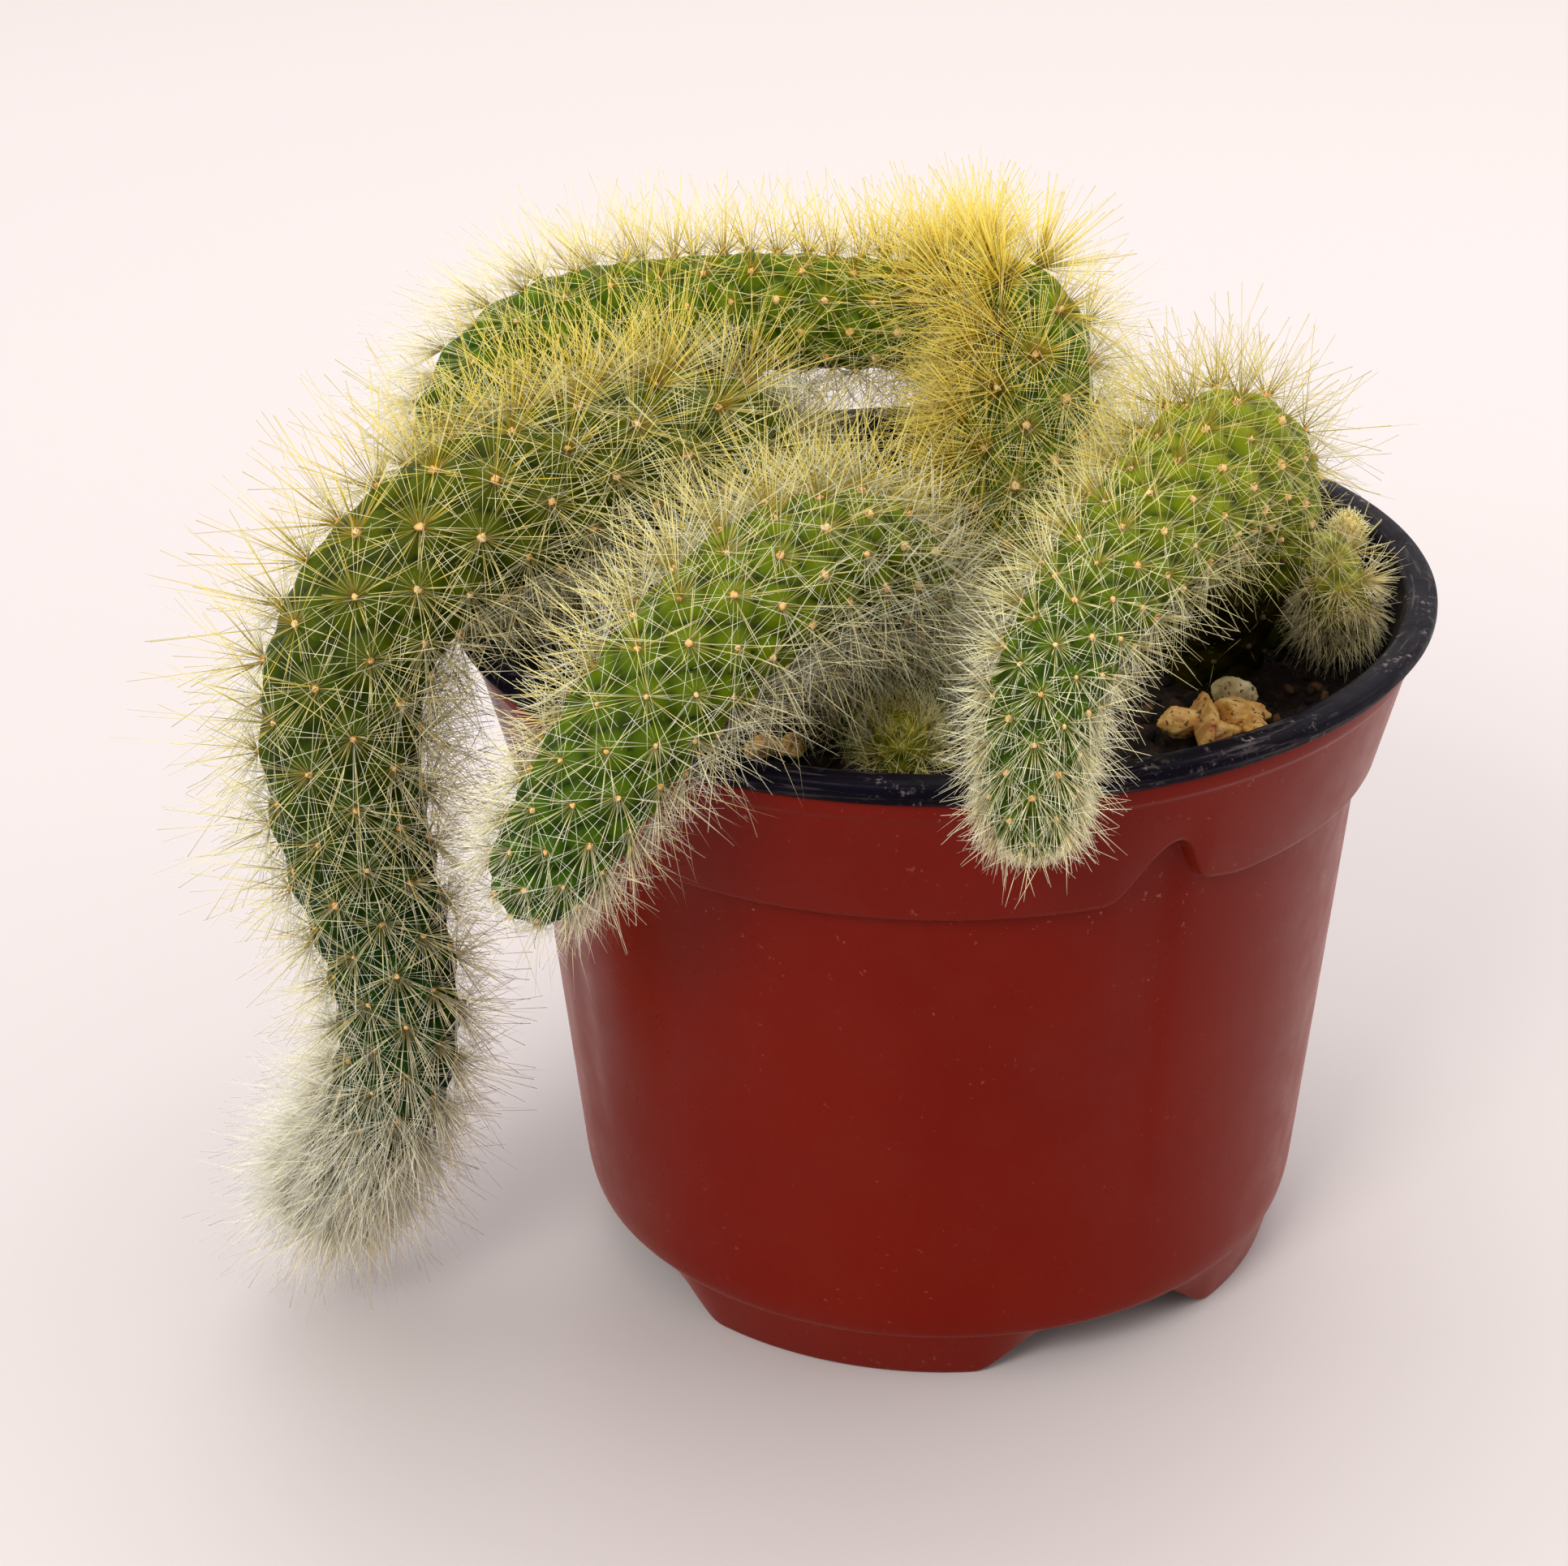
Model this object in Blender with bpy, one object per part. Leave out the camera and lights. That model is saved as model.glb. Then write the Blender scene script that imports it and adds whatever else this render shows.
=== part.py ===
"""Monkey tail cactus growing in a two-layer nursery pot.

+Z is up, -Y is the front and +X is the right. Lengths are typed in millimetres
from the pot's axis and the floor that its feet stand on. They are turned into
metres when a mesh is made. At the end everything is shifted level with the
floor, so that the origin is the middle of the whole plant's footprint.

Pieces: the terracotta outer layer of the pot, its black liner with the rim, the
soil, the grit on it, five stems, two young shoots and a woolly bud. A stem is
one body: its skin is a lattice of tubercles, and each tubercle's areole is a
small facet whose three parts are drawn out into spines.
"""
import math

import bmesh
import bpy
import numpy as np
from mathutils import Matrix, Vector

MM = 0.001
GAP = 0.3                      # clearance between pieces that touch

# Pot: half profile, by height
RIM_R = 60.0                   # outside of the rim, a 120 mm pot
RIM_TOP = 88.4
RIM_UNDER = 85.4               # underside of the rim, where the terracotta stops
HEEL_R, HEEL_Z = 46.2, 7.1     # bottom edge of the wall
STEP_R, STEP_Z = 52.0, 68.3    # top of the lower wall, where the collar steps out
COLLAR_R0, COLLAR_R1 = 53.8, 58.2
WALL = 0.9                     # each of the two layers
FOOT_IN, FOOT_OUT = 41.6, 43.6
BASE_Z = 7.3                   # underside of the base plate
LUG_AT = 29.0                  # degrees from the front, towards +X; again every 90
GAP_TOP, GAP_BOTTOM = 10.2, 21.5   # half angles of the opening between two feet
# Lower edge of the collar near a stacking lug: degrees from its middle, height
LUG_EDGE = ((-7.5, 68.3), (-4.2, 73.4), (-1.8, 76.0), (1.0, 76.2), (3.8, 69.4), (10.2, 68.3))
SECTOR = (-45.0, -33.0, -21.5, -10.2, -7.5, -4.2, -1.8, 1.0, 3.8, 10.2, 21.5, 33.0)
DRAIN_RING_R, DRAIN_R, DRAINS = 28.0, 4.0, 6

# Soil and grit
SOIL_Z = 74.0
SOIL_FLOOR = 10.4

# Stems: (x, y, z, radius) along the middle line from the bottom of the planting
# hole to the tip. "pitch" is the distance between areoles along a rib. "spine"
# holds the shortest and longest spine, and "spread" how far a spine leans from
# upright, in degrees. "skip" is the share of areoles left without spines.
STEMS = {
    "stem_hanging_left": dict(
        line=((-22.6, 7.0, 52.0, 7.0), (-22.6, 7.0, 75.0, 7.0), (-22.8, 6.6, 86.0, 8.0),
              (-23.6, 5.2, 96.4, 8.6), (-27.4, 1.2, 103.6, 9.0), (-34.0, -4.2, 105.2, 9.2),
              (-43.0, -9.8, 104.2, 9.3), (-52.5, -16.0, 102.2, 9.4), (-60.4, -21.0, 98.6, 9.4),
              (-66.6, -25.0, 92.4, 9.4), (-69.7, -27.2, 84.0, 9.4), (-70.2, -28.0, 74.0, 9.3),
              (-69.2, -28.0, 64.0, 8.9), (-67.2, -28.0, 54.0, 8.0), (-65.8, -28.0, 44.0, 7.4),
              (-66.4, -28.0, 34.6, 7.2), (-69.6, -28.0, 26.2, 6.8), (-74.0, -28.0, 18.6, 6.2),
              (-79.2, -28.0, 11.4, 5.4)),
        pitch=8.7, spine=(11.0, 17.0), spread=(34.0, 58.0), skip=0.12),
    "stem_arching_back": dict(
        line=((7.2, 0.6, 52.0, 7.2), (7.2, 0.6, 75.0, 7.2), (7.4, 1.4, 85.0, 7.9),
              (8.2, 3.2, 95.0, 8.1), (9.6, 5.4, 104.0, 8.0), (11.0, 8.0, 111.0, 7.6),
              (9.6, 11.6, 115.8, 7.2), (4.4, 15.0, 116.2, 6.9), (-2.0, 17.4, 115.2, 6.7),
              (-10.2, 19.2, 114.8, 6.8), (-20.3, 20.0, 114.8, 7.2), (-28.4, 19.2, 114.4, 7.6),
              (-36.3, 17.0, 114.0, 8.0), (-44.2, 14.0, 113.4, 8.3), (-50.6, 10.5, 111.8, 8.1),
              (-55.4, 7.0, 108.2, 7.7), (-58.0, 4.4, 102.6, 7.1), (-59.2, 3.0, 96.0, 6.2)),
        pitch=6.8, spine=(8.0, 12.5), spread=(30.0, 52.0), skip=0.18),
    "stem_middle_front": dict(
        line=((-6.0, -17.2, 52.0, 6.8), (-6.0, -17.2, 75.0, 6.8), (-5.8, -18.0, 85.6, 7.4),
              (-6.2, -21.0, 94.6, 7.6), (-8.6, -27.6, 100.6, 7.8), (-13.0, -35.4, 103.8, 7.9),
              (-18.6, -43.4, 104.4, 8.0), (-24.4, -51.4, 102.4, 7.8), (-30.6, -58.6, 97.4, 7.3),
              (-35.7, -62.6, 91.2, 6.9), (-40.0, -64.0, 84.0, 6.4), (-45.2, -63.6, 74.8, 5.5)),
        pitch=6.8, spine=(8.0, 11.5), spread=(32.0, 54.0), skip=0.16),
    "stem_right_front": dict(
        line=((33.0, 4.0, 52.0, 6.8), (33.0, 4.0, 75.0, 6.8), (34.8, 1.4, 86.0, 7.6),
              (36.8, -4.4, 96.6, 8.2), (35.2, -12.6, 106.0, 8.4), (31.0, -21.5, 110.4, 8.2),
              (25.0, -33.0, 109.2, 7.6), (18.2, -45.0, 106.4, 6.7), (13.0, -55.0, 102.6, 6.0),
              (10.4, -62.0, 98.0, 5.5), (9.6, -66.6, 92.0, 4.9), (10.0, -68.8, 84.6, 3.9)),
        pitch=6.8, spine=(7.5, 11.0), spread=(32.0, 54.0), skip=0.18),
    "stem_short_rear": dict(
        line=((-22.4, 23.6, 56.0, 5.2), (-22.4, 23.6, 75.0, 5.2), (-22.6, 24.4, 84.0, 6.0),
              (-23.0, 26.2, 93.0, 5.9), (-23.4, 28.0, 101.6, 5.2)),
        pitch=6.0, spine=(6.0, 8.5), spread=(30.0, 50.0), skip=0.2),
    "shoot_right": dict(
        line=((41.4, 13.0, 66.0, 3.4), (41.4, 13.0, 75.4, 3.4), (43.8, 13.0, 81.6, 4.2),
              (46.6, 9.0, 85.8, 4.4), (48.2, 3.4, 85.8, 4.2), (48.8, -3.4, 82.8, 3.6)),
        pitch=4.4, spine=(4.0, 5.0), spread=(26.0, 46.0), skip=0.3),
    "shoot_front": dict(
        line=((-4.4, -30.6, 66.0, 2.8), (-4.4, -30.6, 75.2, 2.8), (-4.4, -31.4, 78.4, 3.4),
              (-4.4, -33.2, 83.6, 3.0)),
        pitch=3.4, spine=(4.0, 5.0), spread=(26.0, 50.0), skip=0.2),
}
RIBS = 12
SMALL_RIBS = 8                 # on the two young shoots
AREOLE = 0.5                   # radius of the facet that the spines rise from
PINCH = 0.7                    # how near the skin comes to the centre of a tight bend
GROOVE = 0.55                  # depth of the grooves between tubercles
CLEAR = 0.22                   # least distance between two spines
SEED = 7


def sector_columns():
    """Angles of the pot's columns in degrees, four sectors round a stacking lug."""
    out = []
    for k in range(4):
        out += [LUG_AT + 90.0 * k + a for a in SECTOR]
    return np.array(sorted(a % 360.0 for a in out))


def local_angle(az):
    """Angle from the nearest stacking lug, -45 to 45 degrees."""
    return (np.asarray(az) - LUG_AT + 45.0) % 90.0 - 45.0


def step_height(az):
    """Height of the collar's lower edge: level, and drawn up at each lug."""
    a, z = zip(*LUG_EDGE)
    return np.interp(local_angle(az), a, z)


def wall_r(z):
    """Outside radius of the lower wall's cone."""
    return HEEL_R + (STEP_R - HEEL_R) * (z - HEEL_Z) / (STEP_Z - HEEL_Z)


def collar_r(z):
    """Outside radius of the collar's cone."""
    return COLLAR_R0 + (COLLAR_R1 - COLLAR_R0) * (z - STEP_Z) / (RIM_UNDER - STEP_Z)


def foot_z(az):
    """Height of the foot ring's underside: 0 on a foot, raised between two feet."""
    return np.interp(abs(local_angle(az)), (GAP_TOP, GAP_BOTTOM), (HEEL_Z - 0.5, 0.0))


def ring(az, r, z):
    """One closed row of points at radius r and height z; 0 degrees is the front."""
    t = np.radians(az)
    r, z = np.broadcast_to(r, t.shape), np.broadcast_to(z, t.shape)
    return np.stack([r * np.sin(t), -r * np.cos(t), z], 1)


def material(name, colour, rough):
    mat = bpy.data.materials.new(name)
    mat.use_nodes = True
    shader = mat.node_tree.nodes["Principled BSDF"]
    shader.inputs["Base Color"].default_value = (*colour, 1.0)
    shader.inputs["Roughness"].default_value = rough
    mat.diffuse_color = (*colour, 1.0)
    return mat


def make(name, points, faces, mat, smooth=None):
    """Object from points in millimetres.

    With smooth, it is shaded smooth and edges over that angle in degrees stay sharp.
    """
    mesh = bpy.data.meshes.new(name)
    mesh.from_pydata((np.asarray(points, float) * MM).tolist(), [], faces)
    mesh.validate()
    obj = bpy.data.objects.new(name, mesh)
    bpy.context.scene.collection.objects.link(obj)
    mesh.materials.append(mat)
    if smooth is not None:
        mesh.shade_smooth()
        mesh.set_sharp_from_angle(angle=math.radians(smooth))
    return obj


def lathe(rows):
    """Points and faces of rows joined in order, with a flat face closing each end."""
    n = len(rows[0])
    faces = []
    for i in range(len(rows) - 1):
        for j in range(n):
            k = (j + 1) % n
            faces.append((i * n + j, i * n + k, (i + 1) * n + k, (i + 1) * n + j))
    faces.append(tuple(range(n - 1, -1, -1)))
    last = (len(rows) - 1) * n
    faces.append(tuple(range(last, last + n)))
    return np.concatenate(rows), faces


def combine(obj, others, operation):
    """Boolean of obj with the other objects, applied; the others are then removed."""
    group = bpy.data.collections.new("operands")
    bpy.context.scene.collection.children.link(group)
    for other in others:
        bpy.context.scene.collection.objects.unlink(other)
        group.objects.link(other)
    mod = obj.modifiers.new(operation.lower(), "BOOLEAN")
    mod.operation = operation
    mod.solver = "EXACT"
    mod.operand_type = "COLLECTION"
    mod.collection = group
    graph = bpy.context.evaluated_depsgraph_get()
    result = bpy.data.meshes.new_from_object(obj.evaluated_get(graph))
    obj.modifiers.clear()
    obj.data = result
    for other in others:
        bpy.data.objects.remove(other, do_unlink=True)
    bpy.data.collections.remove(group)


def cylinder(name, x, y, z0, z1, r, sides, mat):
    """Upright prism with its corners at radius r."""
    az = np.arange(sides) * 360.0 / sides
    rows = [ring(az, r, z0), ring(az, r, z1)]
    points, faces = lathe(rows)
    return make(name, points + np.array([x, y, 0.0]), faces, mat)


def drain_cutters(mat):
    """Prisms for the drain holes: one in the middle and a ring of them round it."""
    out = [cylinder("drain_0", 0.0, 0.0, -5.0, 30.0, DRAIN_R, 10, mat)]
    for k in range(DRAINS):
        t = math.radians(LUG_AT + 360.0 * k / DRAINS)
        x, y = DRAIN_RING_R * math.sin(t), -DRAIN_RING_R * math.cos(t)
        out.append(cylinder("drain_%d" % (k + 1), x, y, -5.0, 30.0, DRAIN_R, 10, mat))
    return out


def build_pot(terracotta, black):
    """Outer layer with feet, collar and stacking lugs, and the liner with the rim.

    The four openings between the feet and the four lugs share one set of columns.
    """
    az = sector_columns()
    edge, feet = step_height(az), foot_z(az)
    rows = [ring(az, FOOT_IN - 0.2, BASE_Z), ring(az, FOOT_IN, feet),
            ring(az, FOOT_OUT, feet), ring(az, HEEL_R - 0.6, HEEL_Z - 0.3),
            ring(az, wall_r(HEEL_Z + 1.2), HEEL_Z + 1.2),
            ring(az, wall_r(edge), edge), ring(az, collar_r(edge), edge),
            ring(az, COLLAR_R1, RIM_UNDER - GAP), ring(az, COLLAR_R1 - WALL, RIM_UNDER - GAP),
            ring(az, collar_r(edge + WALL) - WALL, edge + WALL),
            ring(az, wall_r(edge + WALL) - WALL, edge + WALL),
            ring(az, wall_r(BASE_Z + 2.4) - WALL, BASE_Z + 2.4), ring(az, 43.2, BASE_Z + WALL)]
    outer = make("pot_outer_layer", *lathe(rows), terracotta, 30)
    combine(outer, drain_cutters(terracotta), "DIFFERENCE")
    d = WALL + GAP
    e = WALL + d
    rows = [ring(az, 42.9, BASE_Z + d), ring(az, wall_r(BASE_Z + 2.7) - d, BASE_Z + 2.7),
            ring(az, wall_r(edge + d) - d, edge + d), ring(az, collar_r(edge + d) - d, edge + d),
            ring(az, COLLAR_R1 - d, RIM_UNDER), ring(az, RIM_R - 0.4, RIM_UNDER),
            ring(az, RIM_R, RIM_TOP - 0.8), ring(az, RIM_R - 0.8, RIM_TOP),
            ring(az, 56.2, RIM_TOP),
            ring(az, collar_r(edge + e) - e, edge + e), ring(az, wall_r(edge + e) - e, edge + e),
            ring(az, wall_r(BASE_Z + 3.6) - e, BASE_Z + 3.6), ring(az, 42.2, BASE_Z + e)]
    liner = make("pot_liner_and_rim", *lathe(rows), black, 30)
    combine(liner, drain_cutters(black), "DIFFERENCE")


def soil_top(x, y):
    """Height of the soil's crumbly top: slow waves, level where the grit lies."""
    wave = 0.5 * np.sin(0.31 * x + 1.3) * np.cos(0.27 * y) + 0.4 * np.sin(0.52 * y - 0.41 * x)
    for gx, gy, gr in ((33.0, -16.0, 9.0), (-18.9, -23.5, 5.0)):
        wave = wave * np.clip((np.hypot(x - gx, y - gy) - gr) / 5.0, 0.0, 1.0)
    return SOIL_Z + wave


def build_soil(mat, stems):
    """Solid that fills the liner, with a plain hole for each stem."""
    angles = (-45.0, -27.0, -10.2, -7.5, 8.0, 11.0, 27.0)
    az = np.array([LUG_AT + 90.0 * k + a for k in range(4) for a in angles])
    lug = abs(local_angle(az) - 0.2) < 8.0
    d = 2.0 * (WALL + GAP) + 0.55
    top_r = np.where(lug, wall_r(SOIL_Z), collar_r(SOIL_Z)) - d
    shelf = np.where(lug, wall_r(71.2), collar_r(71.2)) - d
    rows = [ring(az, 41.6, SOIL_FLOOR), ring(az, wall_r(12.4) - d, SOIL_FLOOR + 1.4),
            ring(az, wall_r(70.8) - d, 70.8), ring(az, shelf, 71.2)]
    for f in (1.0, 0.8, 0.55, 0.28):
        row = ring(az, top_r * f, SOIL_Z)
        row[:, 2] = soil_top(row[:, 0], row[:, 1]) - (0.6 if f == 1.0 else 0.0)
        rows.append(row)
    points, faces = lathe(rows)
    faces.pop()
    n, last = len(az), len(points)
    points = np.vstack([points, [0.0, 0.0, soil_top(0.0, 0.0)]])
    faces += [(last - n + j, last - n + (j + 1) % n, last) for j in range(n)]
    obj = make("soil", points, faces, mat, 40)
    cutters = []
    for name, spec in stems.items():
        x, y, z, r = spec["line"][0]
        hole = (r + GAP + 0.1) / math.cos(math.pi / RIBS)
        cutters.append(cylinder("hole_" + name, x, y, z - 0.5, SOIL_Z + 6.0, hole, RIBS, mat))
    combine(obj, cutters, "DIFFERENCE")


def pebble(centre, size, turn, squash, rng):
    """Rounded stone: a jittered icosphere, flattened underneath, standing on centre."""
    bm = bmesh.new()
    bmesh.ops.create_icosphere(bm, subdivisions=1, radius=1.0)
    out = []
    for v in bm.verts:
        p = np.array(v.co) * (1.0 + rng.uniform(-0.12, 0.12))
        p = p * np.array([size, size * 0.72, size * squash])
        c, s = math.cos(turn), math.sin(turn)
        out.append([centre[0] + c * p[0] - s * p[1], centre[1] + s * p[0] + c * p[1],
                    max(p[2], -0.45 * size * squash)])
    faces = [[v.index for v in f.verts] for f in bm.faces]
    bm.free()
    out = np.array(out)
    out[:, 2] += centre[2] - out[:, 2].min()
    return out, faces


def build_grit(name, stones, mat, rng):
    """Stones that touch, joined in one body by a Boolean union."""
    objs = []
    for k, (x, y, size, turn, squash) in enumerate(stones):
        points, faces = pebble((x, y, SOIL_Z + GAP), size, math.radians(turn), squash, rng)
        objs.append(make(name if k == 0 else "%s_%d" % (name, k), points, faces, mat))
    if len(objs) > 1:
        combine(objs[0], objs[1:], "UNION")


class Path:
    """Smooth middle line with a radius and a turned frame at every quarter millimetre."""

    def __init__(self, line):
        line = np.array(line, float)
        ends = np.vstack([2 * line[0] - line[1], line, 2 * line[-1] - line[-2]])
        t = np.linspace(0.0, 1.0, 24, endpoint=False)[:, None]
        dense = []
        for k in range(len(line) - 1):
            p0, p1, p2, p3 = ends[k:k + 4]
            dense.append(0.5 * (2 * p1 + (p2 - p0) * t + (2 * p0 - 5 * p1 + 4 * p2 - p3) * t ** 2
                                + (3 * p1 - p0 - 3 * p2 + p3) * t ** 3))
        dense = np.vstack(dense + [line[-1:]])
        for _ in range(140):
            dense[1:-1] = 0.25 * dense[:-2] + 0.5 * dense[1:-1] + 0.25 * dense[2:]
        s = np.concatenate([[0.0], np.cumsum(np.linalg.norm(np.diff(dense[:, :3], axis=0), axis=1))])
        self.length = s[-1]
        self.s = np.linspace(0.0, s[-1], int(s[-1] * 4) + 1)
        full = np.stack([np.interp(self.s, s, dense[:, c]) for c in range(4)], 1)
        self.p, self.r = full[:, :3], full[:, 3]
        tan = np.gradient(self.p, axis=0)
        self.t = tan / np.linalg.norm(tan, axis=1)[:, None]
        u = np.zeros_like(self.t)
        u[0] = np.cross(self.t[0], (0.0, 1.0, 0.0))
        u[0] /= np.linalg.norm(u[0])
        for k in range(1, len(u)):
            v = u[k - 1] - self.t[k] * np.dot(u[k - 1], self.t[k])
            u[k] = v / np.linalg.norm(v)
        self.u, self.v = u, np.cross(self.t, u)
        bend = np.gradient(self.t, axis=0) * 4.0
        kernel = np.ones(17) / 17.0
        self.bend = np.stack([np.convolve(bend[:, c], kernel, "same") for c in range(3)], 1)

    def at(self, s):
        """Point, radius, tangent and the two cross directions at length s."""
        k = min(int(round(s * 4)), len(self.s) - 1)
        return self.p[k], self.r[k], self.t[k], self.u[k], self.v[k]

    def reach(self, s, out, r):
        """Radius towards out, held short of the centre on the inside of a tight bend.

        Also how much the skin is squeezed there: 0 on a straight stem, 1 at the centre.
        """
        k = min(int(round(s * 4)), len(self.s) - 1)
        inward = float(out @ self.bend[k])
        if inward < 1e-6:
            return r, 0.0
        return min(r, PINCH / inward), inward * r

    def start(self, z):
        """Length at which the line first rises through height z."""
        return self.s[np.argmax(self.p[:, 2] >= z)]


def rings_of(path, pitch):
    """Lattice rings above the soil as (length, radius factor, lean).

    They are half a pitch apart along the stem. The last two close over the tip as
    a dome, where the skin leans forward.
    """
    first = path.start(SOIL_Z + 1.6)
    tip_r = path.r[-1]
    dome = path.length - tip_r * 1.15
    count = max(2, int(round((dome - first) / (0.5 * pitch))))
    out = [(s, 1.0, 0.0) for s in np.linspace(first, dome, count + 1)]
    for deg in (28.0, 54.0):
        a = math.radians(deg)
        out.append((dome + (path.length - dome) * math.sin(a), math.cos(a), a))
    return out


def segment_gap(p, q, starts, ends):
    """Closest distance from segment pq to many segments, and where on each it falls."""
    d1, d2 = q - p, ends - starts
    r = p - starts
    a, e = d1 @ d1, np.einsum("ij,ij->i", d2, d2)
    f, c, b = np.einsum("ij,ij->i", d2, r), r @ d1, d2 @ d1
    den = a * e - b * b
    s = np.clip(np.where(den > 1e-9, (b * f - c * e) / np.maximum(den, 1e-9), 0.0), 0.0, 1.0)
    t = np.clip((b * s + f) / e, 0.0, 1.0)
    s = np.clip((b * t - c) / a, 0.0, 1.0)
    gap = np.linalg.norm(p + s[:, None] * d1 - (starts + t[:, None] * d2), axis=1)
    return gap, s, t


class Clearance:
    """Keeps spines clear of each other, of every stem and of the pot."""

    def __init__(self, paths):
        self.paths = paths
        self.starts = np.zeros((0, 3))
        self.ends = np.zeros((0, 3))

    def hits_pot(self, pts):
        """Whether any point is in or too near the pot, the soil or the floor."""
        r, z = np.hypot(pts[:, 0], pts[:, 1]), pts[:, 2]
        outside = np.where(z > RIM_UNDER - 0.7, RIM_R, collar_r(z)) + 0.7
        within = (z < RIM_TOP + 0.7) & (r < outside)
        solid = within & ((r > collar_r(z) - 3.4) | (z < SOIL_Z + 1.7))
        return bool(np.any(solid | (z < 0.6)))

    def ok(self, name, p, q):
        """Whether a spine from p to q on the named stem keeps clear of everything."""
        pts = p + np.linspace(0.1, 1.0, 13)[:, None] * (q - p)
        if self.hits_pot(pts):
            return False
        for other, path in self.paths.items():
            mine = other == name
            look = pts[3:] if mine else pts
            gap = np.linalg.norm(look[:, None] - path.p[None, ::2], axis=2) - path.r[None, ::2]
            if gap.min() < (0.9 if mine else 0.6):
                return False
        for centre, radius in KEEP_OFF:
            if np.any(np.linalg.norm(pts - centre, axis=1) < radius):
                return False
        if len(self.starts):
            gap, s, t = segment_gap(p, q, self.starts, self.ends)
            if np.any(gap < CLEAR + 0.45 * (1.0 - s) + 0.45 * (1.0 - t)):
                return False
        return True

    def add(self, p, q):
        self.starts = np.vstack([self.starts, p])
        self.ends = np.vstack([self.ends, q])


KEEP_OFF = ((np.array([51.0, 14.0, 87.4]), 3.4), (np.array([33.0, -16.0, 75.0]), 8.0),
            (np.array([-18.9, -23.5, 75.0]), 5.0), (np.array([35.6, -8.8, 76.4]), 4.6))


def build_stem(name, spec, path, mat, clear, rng):
    """Stem as one closed skin with spines raised from it.

    Lattice points alternate between tubercle tops and the grooves between them.
    A top carries an areole: a three-cornered facet with a middle point. Each of
    its three parts is drawn out to a tip, which makes a spine with three sides.
    """
    small = name.startswith("shoot")
    ribs = SMALL_RIBS if small else RIBS
    groove = 0.3 if small else GROOVE
    facet = 0.42 if small else AREOLE
    rings = rings_of(path, spec["pitch"])
    points, faces = [], []

    def add(p):
        points.append(p)
        return len(points) - 1

    theta = np.arange(ribs) * 2.0 * math.pi / ribs
    foot_s = path.start(SOIL_Z + 0.9)
    low = []
    for s in (0.0, foot_s):
        p, r, t, u, v = path.at(s)
        low.append([add(p + r * (math.cos(a) * u + math.sin(a) * v)) for a in theta])
    faces.append(tuple(reversed(low[0])))
    grid, normal, up, tight = [], [], [], []
    for i, (s, k, lean) in enumerate(rings):
        p, r, t, u, v = path.at(s)
        row, nrow, urow, trow = [], [], [], []
        for j, a in enumerate(theta):
            out = math.cos(a) * u + math.sin(a) * v
            peak = (i + j) % 2 == 0
            reach, squeeze = path.reach(s, out, r * k)
            lift = (0.4 if peak else -0.6) * groove * (k if i else 0.0) * max(0.0, 1.0 - squeeze)
            n = math.cos(lean) * out + math.sin(lean) * t
            row.append(p + out * reach + n * lift)
            trow.append(squeeze > 0.5)
            nrow.append(n)
            urow.append(math.cos(lean) * t - math.sin(lean) * out)
        grid.append(row)
        normal.append(nrow)
        up.append(urow)
        tight.append(trow)
    last = len(rings) - 1
    index = [[None] * ribs for _ in rings]
    for i in range(len(rings)):
        for j in range(ribs):
            if (i + j) % 2 == 1 or i in (0, last):
                index[i][j] = add(grid[i][j])
    for a, b in ((low[0], low[1]), (low[1], index[0])):
        for j in range(ribs):
            k = (j + 1) % ribs
            faces.append((a[j], a[k], b[k], b[j]))
    pole = add(path.p[-1])
    for j in range(ribs):
        faces.append((index[last][j], index[last][(j + 1) % ribs], pole))
        if j % 2 == 0:
            l, m, n = (j - 1) % ribs, j, (j + 1) % ribs
            faces.append((index[0][l], index[0][m], index[1][m]))
            faces.append((index[0][m], index[0][n], index[1][m]))
        if (last + j) % 2 == 0:
            l, m, n = (j - 1) % ribs, j, (j + 1) % ribs
            faces.append((index[last][m], index[last][l], index[last - 1][m]))
            faces.append((index[last][n], index[last][m], index[last - 1][m]))
    count = 0
    for i in range(1, last):
        for j in range(ribs):
            if (i + j) % 2:
                continue
            n, w = normal[i][j], up[i][j]
            side = np.cross(w, n)
            c = grid[i][j] + n * 0.12
            ring4 = [index[i - 1][j], index[i][(j + 1) % ribs], index[i + 1][j],
                     index[i][(j - 1) % ribs]]
            size = facet * (0.8 if i > last - 3 else 1.0)
            turn, tips = 0.0, None
            if not tight[i][j]:
                turn, tips = choose_spines(name, spec, c, n, w, side, size, i / last, clear, rng)
            if tips is None:
                mid = add(grid[i][j])
                for k in range(4):
                    faces.append((mid, ring4[k], ring4[(k + 1) % 4]))
                continue
            corners = []
            for k in range(3):
                a = math.radians(turn + 120.0 * k)
                corners.append(add(c - n * 0.1 + size * (math.cos(a) * side + math.sin(a) * w)))
            mid = add(c)
            bridge(faces, ring4, corners, turn)
            for k in range(3):
                a, b = corners[k], corners[(k + 1) % 3]
                if tips[k] is None:
                    faces.append((mid, a, b))
                    continue
                tip = add(tips[k])
                faces.extend([(mid, a, tip), (a, b, tip), (b, mid, tip)])
                count += 1
    make(name, points, faces, mat)
    print(name, "rings", len(rings), "spines", count, "faces", len(faces))


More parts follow.
